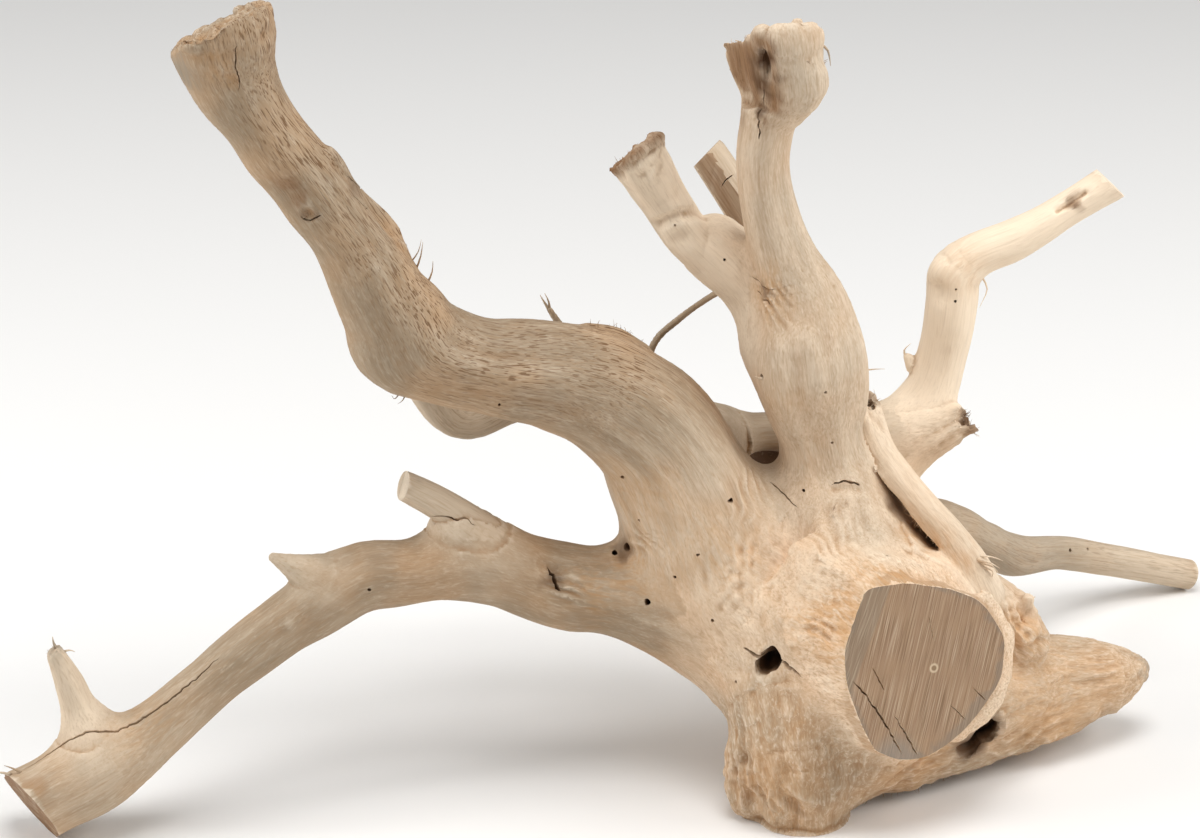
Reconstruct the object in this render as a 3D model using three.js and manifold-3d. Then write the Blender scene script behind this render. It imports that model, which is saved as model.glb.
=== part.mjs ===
// A piece of driftwood: a root crown with one limb sawn off short in front, two long limbs that run out
// to the left, a forked limb that stands up in the middle, and a limb and a leg that run out behind.
// Millimetres, +Z up. The origin is on the ground, under the middle of the piece.
import * as THREE from "three";
import { mergeVertices } from "three/addons/utils/BufferGeometryUtils.js";
import Module from "manifold-3d";

// Every limb is a run of stations along its heart, from its root to its end: x, y, z and radius.
const LIMBS = {
  trunk: [[63, -43, 72, 38], [81, -63, 68, 37], [98, -89, 69, 35], [111, -117, 74, 34],
    [119, -133, 77, 33]],
  crown: [[14, -45, 98, 15], [28, -47, 91, 31], [42, -47, 79, 43], [63, -49, 68, 47], [84, -43, 72, 42],
    [104, -38, 74, 24]],
  apron: [[60, -84, 44, 27], [84, -90, 46, 25], [106, -98, 50, 17]],
  collar: [[134, -91, 97, 4.5], [141, -91, 78, 6], [137, -96, 55, 6.5], [123, -104, 43, 5]],
  saddle: [[20, -50, 112, 20], [40, -48, 114, 19], [62, -47, 114, 20]],
  shoulder: [[80, -39, 88, 40], [103, -37, 78, 37], [122, -41, 65, 29], [138, -45, 52, 14]],
  burr: [[112, -40, 74, 24], [133, -46, 68, 19], [147, -50, 62, 14], [157, -50, 55, 8]],
  nub: [[151, -50, 62, 7], [157, -52, 72, 3], [158, -53, 79, 2]],
  foot: [[59, -59, 61, 39], [59, -77, 42, 31], [59, -91, 31, 29], [62, -99, 17, 26], [63, -102, 3, 18],
    [63, -103, -6, 12]],
  heel: [[52, -90, 36, 22], [43, -98, 21, 18], [44, -102, 8, 13]],
  web: [[66, -62, 46, 30], [100, -70, 40, 25], [130, -58, 33, 22], [152, -48, 30, 14]],
  upper_left: [[36, -49, 80, 34], [23, -51, 105, 32], [6, -54, 145, 27], [-14, -59, 169, 24],
    [-38, -65, 180, 21], [-67, -71, 187, 19], [-90, -77, 197, 21], [-103, -83, 218, 19.5],
    [-116, -89, 243, 17.5], [-132, -95, 271, 16], [-147, -101, 299, 15.5], [-157, -105, 320, 17],
    [-162, -108, 337, 21]],
  lower_left: [[45, -50, 70, 28], [17, -54, 77, 27], [-12, -57, 82, 19.5], [-41, -62, 89, 16.5],
    [-71, -67, 100, 16], [-97, -75, 99, 13.5], [-117, -81, 99, 14], [-137, -87, 88, 13],
    [-158, -94, 75, 12.5], [-181, -101, 57, 12], [-200, -107, 42, 13], [-218, -112, 31, 16],
    [-251, -117, 15, 17]],
  peg: [[-64, -67, 103, 13], [-73, -69, 110, 11], [-78, -71, 122, 6.4], [-88, -74, 129, 6.2],
    [-99, -76, 136, 5.8]],
  thorn: [[-133, -86, 102, 9], [-143, -88, 108, 5], [-151, -89, 112, 1.5]],
  horn: [[-220, -111, 40, 12], [-227, -112, 56, 7.5], [-232, -113, 68, 5.5], [-237, -115, 84, 3]],
  centre: [[79, -47, 106, 31], [72, -47, 132, 18], [67, -47, 149, 17], [64, -46, 165, 20.5],
    [62, -45, 184, 24], [60, -44, 204, 20.5], [54, -45, 222, 15], [49, -47, 238, 13],
    [45, -49, 255, 12], [44, -51, 270, 11.5], [46, -52, 284, 12], [49, -53, 298, 15.5],
    [48.5, -54, 322, 21]],
  lobe: [[54, -57, 292, 8.5], [58, -59, 306, 11.5], [58, -59, 318, 10.5]],
  fork: [[57, -37, 186, 19], [44, -31, 203, 14.5], [34, -29, 215, 15], [25, -30, 223, 12.5],
    [14, -32, 232, 10], [5, -33, 246, 9.8], [0, -35, 256, 10.6], [-6, -38, 268, 11.6]],
  back_peg: [[62, -21, 197, 11], [47, -1, 216, 9], [36, 5, 233, 8.2], [25, 10, 249, 7.9]],
  right: [[96, -6, 104, 16], [111, 5, 130, 13.5], [121, 9, 148, 12.2], [125, 11, 167, 11.6],
    [127, 13, 185, 11.8], [129, 14, 196, 12.2], [138, 15, 204, 10.4], [152, 18, 209, 9.8],
    [165, 21, 215, 8.6], [178, 25, 222, 8], [194, 29, 231, 8]],
  right_snag: [[101, -1, 121, 15], [113, -4, 129, 13], [123, -6, 134, 9.5], [133, -7, 138, 6]],
  spur: [[117, 9, 151, 3.5], [109, 9, 158, 2.2], [108, 9, 164, 1.5]],
  strap: [[141, -54, 66, 12], [131, -56, 90, 11], [122, -59, 107, 9.5], [112, -59, 120, 8.4],
    [102, -53, 131, 7.8], [95, -43, 138, 7.5], [91, -34, 147, 7], [90, -28, 156, 5.5]],
  rear_leg: [[105, -10, 90, 16], [120, 8, 86, 12], [135, 29, 75, 10], [150, 48, 58, 9],
    [166, 66, 43, 9], [188, 87, 35, 7.5], [212, 105, 24, 7], [235, 117, 15, 7], [255, 126, 6.5, 7]],
  buttress: [[122, -53, 35, 31], [151, -39, 28, 27], [173, -31, 27, 22], [193, -25, 27, 15],
    [206, -22, 29, 9], [213, -21, 30, 4]],
  under_root: [[62, -98, 17, 15], [83, -90, 15, 13], [110, -79, 16, 11], [137, -63, 16, 11],
    [161, -49, 18, 12], [181, -39, 21, 11]],
  rear_knee: [[24, -11, 129, 18], [-7, 7, 139, 14], [-37, 15, 144, 12], [-58, 17, 140, 12],
    [-79, 14, 134, 13], [-92, 6, 150, 11], [-100, -6, 172, 8], [-103, -15, 186, 4]],
  rear_log: [[101, 1, 126, 14], [75, 5, 128, 10], [54, 1, 129, 9], [34, -7, 131, 8]],
  log_root: [[96, 2, 108, 14], [74, 9, 112, 11], [56, 13, 113, 10], [47, 15, 112, 7]],
  tendril: [[-3, 7, 142, 2], [2, -3, 170, 1.5], [12, -10, 184, 1.5], [23, -16, 195, 1.5],
    [36, -23, 206, 2]],
  rear_twig: [[-22, 9, 142, 3], [-32, -1, 170, 2], [-41, -7, 188, 1.3]],
};

// The sawn face of the short front limb: a point on it and the way it looks.
const SAWN_CENTRE = new THREE.Vector3(111, -117, 74);
const SAWN_NORMAL = new THREE.Vector3(0.45, -0.88, 0.14).normalize();

// Two places where the heart has rotted out: a knot hole in the crown, and a pocket behind the sawn limb.
// Each is an egg-shaped hollow on the middle of its mouth, with its long way pointing into the wood.
const KNOT_HOLE = { mouth: [49, -94, 69], inward: [0.25, 0.95, -0.2], radius: 3.5, reach: 16 };
const POCKET = { mouth: [137, -78, 28], inward: [-0.1, 0.95, 0.25], radius: 7, reach: 16 };
const HOLLOW_SIDES = 12;
const HOLLOW_RINGS = 8;

// Facets round a limb and the step along it, both taken from its mean radius.
const MIN_SIDES = 6;
const SIDES_PER_RADIUS = 0.3;
const STEP_PER_RADIUS = 0.85;
const MIN_STEP = 5;

// A block larger than the whole piece takes away what lies beyond a flat cut.
const CUT_BLOCK = 800;
const WOOD_COLOUR = 0xd3b894;
const WOOD_ROUGHNESS = 0.85;

const wasm = await Module();
wasm.setup();

// Turns a closed three.js geometry into a solid that can be joined and cut.
function toSolid(geometry) {
  geometry.deleteAttribute("normal");
  geometry.deleteAttribute("uv");
  const merged = mergeVertices(geometry);
  return new wasm.Manifold(new wasm.Mesh({
    numProp: 3,
    vertProperties: new Float32Array(merged.attributes.position.array),
    triVerts: new Uint32Array(merged.index.array),
  }));
}

// Bends a closed cylinder along a limb's heart and swells it to the radius at each station.
function limbSolid(stations) {
  const heart = new THREE.CatmullRomCurve3(
    stations.map(([x, y, z]) => new THREE.Vector3(x, y, z)), false, "catmullrom");
  const girth = new THREE.SplineCurve(stations.map(([, , , radius], i) => new THREE.Vector2(i, radius)));
  const meanRadius = stations.reduce((sum, station) => sum + station[3], 0) / stations.length;
  const sides = Math.round(MIN_SIDES + SIDES_PER_RADIUS * meanRadius);
  const rings = Math.ceil(heart.getLength() / Math.max(MIN_STEP, STEP_PER_RADIUS * meanRadius));
  const frames = heart.computeFrenetFrames(rings);
  const geometry = new THREE.CylinderGeometry(1, 1, 1, sides, rings);
  const position = geometry.attributes.position;
  const point = new THREE.Vector3();
  for (let i = 0; i < position.count; i += 1) {
    const along = position.getY(i) + 0.5;
    const ring = Math.round(along * rings);
    const station = heart.getUtoTmapping(along);
    const radius = girth.getPoint(station).y;
    point.copy(heart.getPoint(station));
    point.addScaledVector(frames.binormals[ring], radius * position.getX(i));
    point.addScaledVector(frames.normals[ring], radius * position.getZ(i));
    position.setXYZ(i, point.x, point.y, point.z);
  }
  return toSolid(geometry);
}

// The block that lies beyond a flat cut, with one face on the cut.
function beyondCut(centre, normal) {
  const block = new THREE.BoxGeometry(CUT_BLOCK, CUT_BLOCK, CUT_BLOCK);
  block.translate(0, 0, CUT_BLOCK / 2);
  block.applyQuaternion(new THREE.Quaternion().setFromUnitVectors(new THREE.Vector3(0, 0, 1), normal));
  block.translate(centre.x, centre.y, centre.z);
  return toSolid(block);
}

// An egg-shaped hollow, centred on its mouth and reaching into the wood.
function hollowSolid({ mouth, inward, radius, reach }) {
  const egg = new THREE.SphereGeometry(1, HOLLOW_SIDES, HOLLOW_RINGS);
  const direction = new THREE.Vector3(...inward).normalize();
  egg.scale(radius, reach, radius);
  egg.applyQuaternion(new THREE.Quaternion().setFromUnitVectors(new THREE.Vector3(0, 1, 0), direction));
  egg.translate(...mouth);
  return toSolid(egg);
}

function toGeometry(solid) {
  const mesh = solid.getMesh();
  const geometry = new THREE.BufferGeometry();
  geometry.setAttribute("position", new THREE.BufferAttribute(mesh.vertProperties, 3));
  geometry.setIndex(new THREE.BufferAttribute(mesh.triVerts, 1));
  geometry.computeVertexNormals();
  return geometry;
}

// All limbs grew together into one body of wood.
const grown = Object.values(LIMBS).map(limbSolid).reduce((body, limb) => body.add(limb));
const ground = beyondCut(new THREE.Vector3(0, 0, 0), new THREE.Vector3(0, 0, -1));
const sawn = grown.subtract(beyondCut(SAWN_CENTRE, SAWN_NORMAL)).subtract(ground);
const weathered = sawn.subtract(hollowSolid(KNOT_HOLE)).subtract(hollowSolid(POCKET));

const wood = new THREE.MeshStandardMaterial({
  color: WOOD_COLOUR,
  roughness: WOOD_ROUGHNESS,
  metalness: 0,
});
const driftwood = new THREE.Mesh(toGeometry(weathered), wood);
driftwood.name = "driftwood";

const part = new THREE.Group();
part.add(driftwood);

export default part;
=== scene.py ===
import math
from itertools import product

import bmesh
import bpy
import numpy as np
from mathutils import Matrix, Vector
from mathutils.bvhtree import BVHTree
from mathutils.kdtree import KDTree


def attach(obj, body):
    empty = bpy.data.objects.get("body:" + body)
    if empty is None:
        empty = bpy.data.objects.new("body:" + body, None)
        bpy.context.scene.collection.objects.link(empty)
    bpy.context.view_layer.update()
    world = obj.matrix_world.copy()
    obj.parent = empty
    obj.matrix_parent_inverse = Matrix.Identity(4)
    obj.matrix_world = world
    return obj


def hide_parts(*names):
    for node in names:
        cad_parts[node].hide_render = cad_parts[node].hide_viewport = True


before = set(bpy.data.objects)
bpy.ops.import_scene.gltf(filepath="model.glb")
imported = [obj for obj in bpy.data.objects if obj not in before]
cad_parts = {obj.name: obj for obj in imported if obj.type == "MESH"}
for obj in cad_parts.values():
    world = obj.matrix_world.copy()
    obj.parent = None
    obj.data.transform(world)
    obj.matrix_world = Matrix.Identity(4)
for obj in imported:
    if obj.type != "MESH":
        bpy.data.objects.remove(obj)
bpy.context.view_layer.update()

# The limbs. The piece is one root crown with the roots and shoots that grew out of it, barked and bleached.
# Each limb follows its heart, a run of stations from its root to its end, in millimetres: x, y, z, radius.
# The fillet is how far the wood has grown together, in millimetres, where the limb meets what came before.
MM = 0.001
LIMBS = {
    "crown": (0, [(14, -45, 98, 15), (28, -47, 91, 30), (42, -47, 79, 40), (63, -49, 68, 44),
                  (84, -43, 72, 41), (104, -38, 74, 24)]),
    "trunk": (20, [(63, -43, 72, 36), (81, -63, 69, 35), (97, -87, 70, 32), (108, -111, 73, 28)]),
    "apron": (16, [(60, -84, 44, 27), (84, -90, 46, 25), (106, -98, 50, 17)]),
    "skirt": (12, [(62, -92, 22, 22), (78, -94, 26, 20), (93, -95, 33, 16)]),
    "collar": (8, [(134, -91, 97, 4.5), (141, -91, 78, 6), (137, -96, 55, 6.5), (123, -104, 43, 5)]),
    "saddle": (16, [(20, -50, 112, 18), (40, -48, 112, 17), (62, -47, 113, 18)]),
    "shoulder": (16, [(80, -39, 86, 38), (100, -39, 77, 34), (120, -43, 64, 28), (138, -45, 52, 14)]),
    "burr": (8, [(112, -40, 74, 24), (133, -46, 69, 18), (148, -50, 64, 14), (159, -50, 56, 9)]),
    "nub": (3, [(152, -50, 64, 7), (157, -52, 73, 3.6), (158, -53, 79, 2.8)]),
    "foot": (18, [(59, -59, 61, 37), (60, -77, 42, 28), (60, -91, 31, 27), (62, -97, 18, 24),
                  (63, -98, 8, 20)]),
    "heel": (4, [(53, -89, 38, 20), (44, -95, 24, 15), (43, -97, 12, 13)]),
    "toe": (4, [(62, -102, 31, 16), (55, -108, 18, 11), (53, -108, 9, 9)]),
    "web": (10, [(66, -62, 46, 30), (100, -70, 40, 25), (130, -58, 33, 21), (152, -48, 30, 14)]),
    "upper_left": (22, [(36, -49, 80, 33), (23, -51, 105, 31), (6, -54, 144, 26.5), (-14, -59, 168, 24),
                        (-38, -65, 180, 21), (-67, -71, 186, 18.4), (-91, -77, 196, 20.5),
                        (-102, -83, 217, 18.5), (-114.5, -89, 243, 16), (-132, -95, 271, 14.5),
                        (-149, -101, 299, 12.8), (-159, -105, 320, 15.8), (-162.5, -109, 338, 21.5)]),
    "knob": (4, [(-152, -109, 331, 8), (-149, -109, 338, 6)]),
    "ridge": (6, [(-123, -97, 284, 2.2), (-117, -89, 271, 3.8), (-108, -82, 257, 4.4),
                  (-100, -78, 244, 4.0), (-94, -75, 232, 2.2)]),
    "flake": (3, [(-25, -53, 193, 4), (-14, -49, 190, 4.5), (-4, -47, 184, 4)]),
    "lower_left": (22, [(45, -50, 70, 28), (17, -54, 77, 25.5), (-12, -57, 82, 19), (-41, -62, 89, 16.5),
                        (-71, -67, 100, 16), (-97, -75, 99, 13.5), (-117, -81, 100, 13.8),
                        (-137, -87, 89, 12.4), (-158, -94, 76, 12), (-181, -101, 58, 11.5),
                        (-200, -107, 43, 12.3), (-218, -112, 32, 15.5), (-249, -118, 16, 18)]),
    "peg_root": (9, [(-64, -66, 101, 13), (-71, -68, 109, 12), (-78, -70, 116, 10.5)]),
    "peg": (3, [(-68, -68, 113, 7.5), (-78, -71, 123, 6.4), (-88, -74, 131, 6.2), (-99, -76, 138, 5.8)]),
    "thorn": (8, [(-131, -86, 101, 10), (-142, -88, 107, 5.5), (-151, -89, 112, 2)]),
    "horn": (10, [(-224, -111, 40, 13), (-229, -112, 56, 7.4), (-232, -113, 68, 5.8),
                  (-237, -115, 83, 3.4)]),
    "centre": (18, [(79, -47, 106, 30), (73, -47, 132, 18), (69, -47, 149, 16), (66, -46, 165, 19.5),
                    (63, -45, 184, 23.5), (60, -44, 204, 20), (54, -45, 222, 15), (49, -47, 238, 13),
                    (45, -49, 255, 12), (44, -51, 270, 11.5), (46, -52, 284, 12), (49, -53, 298, 15.5),
                    (47, -54, 318, 20.5)]),
    "lobe": (6, [(54, -57, 290, 8), (56.5, -60, 301, 10.8), (56, -60, 310, 9.8)]),
    "fork": (10, [(57, -37, 186, 19), (44, -31, 203, 14.5), (34, -29, 215, 15), (27, -28, 222, 14)]),
    "fork_top": (2.5, [(27, -32, 217, 9), (14, -32, 231, 9.6), (5, -33, 246, 9.8), (0, -35, 255, 10.4),
                       (-5, -37, 265, 11)]),
    "back_peg": (8, [(62, -21, 197, 11), (47, -1, 216, 9), (36, 5, 233, 8.2), (25, 10, 249, 7.9)]),
    "right": (12, [(96, -6, 104, 16), (111, 5, 130, 13.5), (121, 9, 148, 12.2), (125.5, 11, 167, 12.3),
                   (127.5, 13, 185, 12.4), (129, 14, 196, 12.2), (138, 15, 204, 10.4), (152, 18, 209, 9.8),
                   (165, 21, 215, 8.6), (178, 25, 222, 8), (194, 29, 231, 8)]),
    "right_snag": (14, [(101, -1, 122, 13.5), (113, -4, 129, 11.5), (123, -6, 133, 9), (134, -7, 138, 5.6)]),
    "spur": (5, [(117, 9, 151, 3.5), (111, 9, 157, 2.4), (109, 9, 161, 1.6)]),
    "strap": (6, [(141, -54, 66, 12), (131, -56, 90, 10.4), (122, -59, 107, 8.6), (112, -59, 120, 7.5),
                  (102, -53, 131, 7.1), (95, -43, 138, 7), (91, -34, 147, 7), (90, -28, 156, 5.5)]),
    "rear_leg": (12, [(105, -10, 90, 16), (120, 8, 85, 11), (135, 29, 74, 9.8), (150, 48, 58, 9),
                      (166, 66, 43, 9), (188, 87, 35, 7.5), (212, 105, 24, 7), (235, 117, 15, 7),
                      (255, 126, 7, 7)]),
    "buttress": (12, [(122, -53, 35, 30), (151, -38, 29, 25), (173, -31, 29, 20), (193, -25, 27, 15),
                      (205, -22, 29, 9), (210, -21, 30, 5)]),
    "under_root": (6, [(62, -98, 17, 15), (83, -90, 15, 13), (110, -79, 16, 11), (137, -63, 16, 11),
                       (161, -49, 18, 12), (181, -39, 21, 11)]),
    "rear_knee": (14, [(24, -11, 129, 18), (-7, 7, 139, 14), (-37, 15, 144, 12), (-58, 17, 140, 12),
                       (-79, 14, 134, 13), (-92, 6, 150, 11), (-100, -6, 172, 8), (-103, -15, 186, 4)]),
    "rear_log": (14, [(101, 1, 124, 15), (75, 5, 127, 10.5), (54, 1, 130, 9), (34, -7, 132, 8)]),
    "log_root": (5, [(96, 2, 108, 14), (74, 9, 112, 11), (56, 13, 113, 10), (47, 15, 112, 7)]),
    "tendril": (2, [(-3, 7, 142, 2), (2, -3, 170, 1.5), (12, -10, 184, 1.5), (23, -16, 195, 1.5),
                    (36, -23, 206, 2)]),
    "rear_twig": (2, [(-22, 9, 142, 3), (-32, -1, 170, 2), (-41, -7, 188, 1.3)]),
}
# The heart's points lie this far apart and are measured in chunks. What is further than far is left out.
HEART_STEP = 4.0
SPLINE_STEPS = 24
CHUNK = 8
FAR = 60.0
# A way that no limb starts along, to begin its frame with.
ASKEW = (0.3, 0.5, 0.8)


class Limb:
    """A limb's heart as evenly spaced points with radii, and a frame that follows it without twisting."""

    def __init__(self, name, fillet, stations):
        self.name = name
        self.fillet = fillet
        knots = np.array(stations, float)
        knots = np.vstack([2 * knots[0] - knots[1], knots, 2 * knots[-1] - knots[-2]])
        t = np.linspace(0, 1, SPLINE_STEPS, endpoint=False)[:, None]
        runs = []
        for a, b, c, d in zip(knots, knots[1:], knots[2:], knots[3:]):
            bend = 2 * a - 5 * b + 4 * c - d + t * (3 * b - a - 3 * c + d)
            runs.append(b + 0.5 * t * (c - a + t * bend))
        fine = np.vstack(runs + [knots[-2:-1]])
        length = np.concatenate([[0], np.cumsum(np.linalg.norm(np.diff(fine[:, :3], axis=0), axis=1))])
        self.along = np.linspace(0, length[-1], max(3, round(length[-1] / HEART_STEP) + 1))
        heart = np.stack([np.interp(self.along, length, fine[:, i]) for i in range(4)], axis=1)
        self.heart = heart[:, :3]
        self.radius = heart[:, 3]
        self.tangent = np.gradient(self.heart, axis=0)
        self.tangent /= np.linalg.norm(self.tangent, axis=1)[:, None]
        side = np.cross(self.tangent[0], ASKEW)
        sides = []
        for tangent in self.tangent:
            side = side - tangent * (side @ tangent)
            side = side / np.linalg.norm(side)
            sides.append(side)
        self.side = np.array(sides)
        self.up = np.cross(self.tangent, self.side)

    def measure(self, p, reach):
        """How far each point lies outside the limb, and where along the heart its nearest point is.

        Points more than reach away are left as far."""
        gap = np.full(len(p), FAR)
        place = np.zeros(len(p))
        mine = self.around(p, slice(None), reach)
        q = p[mine]
        best = gap[mine]
        spot = place[mine]
        for start in range(0, len(self.heart) - 1, CHUNK):
            near = self.around(q, slice(start, start + CHUNK + 1), reach)
            here, at = q[near], np.arange(start, min(start + CHUNK, len(self.heart) - 1))
            low, low_spot = best[near], spot[near]
            for i in at:
                run = self.heart[i + 1] - self.heart[i]
                off = here - self.heart[i]
                t = np.clip(off @ run / (run @ run), 0, 1)
                off -= t[:, None] * run
                outside = np.sqrt(np.einsum("ij,ij->i", off, off))
                outside -= self.radius[i] + t * (self.radius[i + 1] - self.radius[i])
                low_spot = np.where(outside < low, i + t, low_spot)
                low = np.minimum(outside, low)
            best[near], spot[near] = low, low_spot
        gap[mine], place[mine] = best, spot
        return gap, place

    def around(self, p, part, reach):
        """Which points lie in the box round a part of the heart."""
        wide = self.radius[part].max() + reach
        low, high = self.heart[part].min(axis=0) - wide, self.heart[part].max(axis=0) + wide
        return np.flatnonzero(((p > low) & (p < high)).all(axis=1))

    def straighten(self, p, place):
        """Points in the limb's own grain: distance along the heart, then the two ways across it."""
        i = np.minimum(place.astype(int), len(self.heart) - 2)
        t = (place - i)[:, None]
        off = p - (self.heart[i] * (1 - t) + self.heart[i + 1] * t)
        side = self.side[i] * (1 - t) + self.side[i + 1] * t
        up = self.up[i] * (1 - t) + self.up[i + 1] * t
        tangent = self.tangent[i] * (1 - t) + self.tangent[i + 1] * t
        step = self.along[1]
        return np.stack([place * step + (off * tangent).sum(1), (off * side).sum(1), (off * up).sum(1)],
                        axis=1)


limbs = [Limb(name, fillet, stations) for name, (fillet, stations) in LIMBS.items()]


# The wood's unevenness comes from scrambled numbers on a lattice, with a seed for each kind.
SCRAMBLE = (73856093, 19349663, 83492791, 2654435761)
SCRAMBLE_AGAIN = ((13, 1274126177), (15, 668265263))
LARGEST = 0x7FFFFFFF
SEEDS = {"tear": 11, "slit": 15, "lump": 21, "flute": 31, "bend": 35, "fold": 37, "wrinkle": 41, "knob": 51,
         "stain": 61}


def lattice_noise(p, seed):
    """Smooth random swell from -1 to 1 with one swell to a unit cell."""
    cell = np.floor(p).astype(np.int64)
    f = p - cell
    f = f * f * f * (f * (f * 6 - 15) + 10)
    total = np.zeros(len(p))
    for corner in product((0, 1), repeat=3):
        x, y, z = (cell + corner).T
        mixed = (x * SCRAMBLE[0]) ^ (y * SCRAMBLE[1]) ^ (z * SCRAMBLE[2]) ^ (seed * SCRAMBLE[3])
        for shift, factor in SCRAMBLE_AGAIN:
            mixed = ((mixed ^ (mixed >> shift)) * factor) & LARGEST
        value = mixed / (LARGEST // 2) - 1.0
        weight = np.prod(np.where(corner, f, 1 - f), axis=1)
        total += weight * value
    return total


# The sawn limb. The thickest limb was sawn off short in front, across a rough section that flares
# into the crown. It is grown a little too long here, and sawn to length further on.
SAWN_CENTRE = np.array([111.0, -117.0, 74.0])
SAWN_NORMAL = np.array([0.45, -0.88, 0.14])
SAWN_NORMAL = SAWN_NORMAL / np.linalg.norm(SAWN_NORMAL)
SAWN_ACROSS = np.cross((0, 0, 1), SAWN_NORMAL)
SAWN_ACROSS = SAWN_ACROSS / np.linalg.norm(SAWN_ACROSS)
SAWN_UP = np.cross(SAWN_NORMAL, SAWN_ACROSS)
SAWN_OUTLINE = [(-12, 40), (-25, 39), (-35, 18), (-36, 3), (-26, -26), (-15, -32), (-3, -32), (12, -22),
                (30, -8), (34, 7), (25, 23), (10, 32)]
SAWN_FLARE = math.radians(16)
SAWN_ROUND = 4
SAWN_DEPTH = 46
SAWN_OVERLONG = 7
SAWN_FILLET = 26


def smooth_max(a, b, rounding):
    """The larger of two fields, with their meeting edge rounded over."""
    if rounding == 0:
        return np.maximum(a, b)
    blend = np.maximum(rounding - np.abs(a - b), 0) / rounding
    return np.maximum(a, b) + blend ** 3 * rounding / 6


def grow_together(a, b, fillet):
    """Joins two distance fields with a fillet where both are near."""
    return -smooth_max(-a, -b, fillet)


def sawn_limb(p):
    """How far each point lies outside the flared stump behind the saw cut."""
    off = p - SAWN_CENTRE
    x, y, out = off @ SAWN_ACROSS, off @ SAWN_UP, off @ SAWN_NORMAL
    gap = np.maximum(-out - SAWN_DEPTH, out - SAWN_OVERLONG)
    for (ax, ay), (bx, by) in zip(SAWN_OUTLINE, SAWN_OUTLINE[1:] + SAWN_OUTLINE[:1]):
        length = math.hypot(bx - ax, by - ay)
        beside = ((x - ax) * (ay - by) + (y - ay) * (bx - ax)) / -length
        gap = smooth_max(gap, beside * math.cos(SAWN_FLARE) + out * math.sin(SAWN_FLARE), SAWN_ROUND)
    return gap


# The broken ends. They tore across the fibres, and the tall middle limb also split down its front.
# Each break is a point on it (or the limb's end), the way it looks, how ragged it is, its rim's rounding
# and, for the split, the height where it stops.
BREAKS = {
    "upper_left": [(None, (-0.45, 0.2, 0.87), 1.8, 6)],
    "horn": [(None, (-0.5, -0.2, 0.85), 1.0, 1)],
    "centre": [(None, (-0.14, 0.36, 0.92), 2.4, 2), ((36, -54, 294), (-0.71, -0.66, -0.22), 1.2, 0.5, 291)],
    "lobe": [(None, (0.25, 0.3, 0.92), 1.2, 5)],
    "fork_top": [(None, (-0.6, 0.28, 0.75), 1.6, 1)],
    "right_snag": [(None, (0.75, -0.1, 0.65), 3.0, 1)],
    "nub": [(None, (0.2, -0.1, 0.95), 0.5, 0.5)],
    "strap": [(None, (0.3, -0.4, 0.86), 1.8, 2)],
}
# Torn bark has dried into a rolled lip round some of them: the lip's thickness.
LIPS = {"fork_top": 1.7}
LIP_TURNS = np.linspace(0, 2 * math.pi, 12)
LIP_SHARE = 0.97
LIP_FILLET = 2
for torn in [limb for limb in limbs if limb.name in LIPS]:
    look = np.array(BREAKS[torn.name][0][1])
    ring = np.outer(np.cos(LIP_TURNS), torn.side[-1]) + np.outer(np.sin(LIP_TURNS), torn.up[-1])
    ring *= LIP_SHARE * torn.radius[-1]
    ring -= np.outer(ring @ look / (torn.tangent[-1] @ look), torn.tangent[-1])
    ring += torn.heart[-1]
    limbs.append(Limb(torn.name + "_lip", LIP_FILLET, [(*spot, LIPS[torn.name]) for spot in ring]))
# A tear leaves fibres and tufts: their size along and across the grain, and their share of its raggedness.
TEARS = [((16.0, 2.4, 2.4), 0.7), ((16.0, 6.0, 6.0), 0.6)]
TEAR_REACH = 3
TEAR_MARGIN = 4


def break_ends(limb, p, gap, place):
    """Takes a limb back to its ragged ends, torn along the fibres."""
    for point, look, ragged, rim, *lowest in BREAKS.get(limb.name, ()):
        look = np.array(look) / np.linalg.norm(look)
        beyond = (p - (limb.heart[-1] if point is None else np.array(point, float))) @ look
        if lowest:
            beyond = np.minimum(beyond, p[:, 2] - lowest[0])
        close = np.flatnonzero((beyond > -TEAR_REACH * ragged - rim - TEAR_MARGIN) & (gap < FAR))
        grain = limb.straighten(p[close], place[close])
        tear = sum(share * lattice_noise(grain / np.array(size), SEEDS["tear"] + number)
                   for number, (size, share) in enumerate(TEARS))
        gap[close] = smooth_max(gap[close], beyond[close] + ragged * tear, rim)
    return gap


# Hollows. The heart has rotted out at an old knot in the crown, in a pocket behind the sawn limb and in
# broken ends. Each is an egg-shaped hole: the middle of its mouth, the way it reaches in, and its radii.
HOLLOWS = {
    "knot_hole": ((50, -98, 73), (0.4, 0.85, -0.1), (4.4, 10, 6.2)),
    "knot_hole_side": ((47, -97, 69), (0.3, 0.9, 0.2), (4.0, 10, 4.2)),
    "pocket": ((139, -80, 29), (-0.1, 0.95, 0.25), (8.5, 20, 7.5)),
    "pocket_side": ((132, -83, 22), (0.1, 0.95, 0.25), (5.5, 14, 5.5)),
    "split_hollow": ((44, -69, 310), (0.25, 0.93, -0.25), (2.6, 6, 10)),
    "strap_hole": ((91, -28, 152), (-0.1, 0.7, -0.7), (2.6, 7, 2.6)),
    "snag_hole": ((134, -9, 141), (-0.75, 0.3, -0.6), (2.0, 6, 1.8)),
}
# The root that hugs the crown on its right has dried away from it and left a deep open slit.
SLIT = [(90, -56, 137), (94, -57, 131), (98, -59, 126), (104, -61, 119), (110, -63, 112), (114, -65, 108),
        (118, -66, 105)]
SLIT_INWARD = np.array([0.25, 0.93, -0.2])
SLIT_DEPTH = 15
SLIT_WIDTH = 4.4
SLIT_TIP = 0.05
SLIT_UNEVEN = 0.5
SLIT_LUMP = 6
SLIT_NEAR = 20


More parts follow.
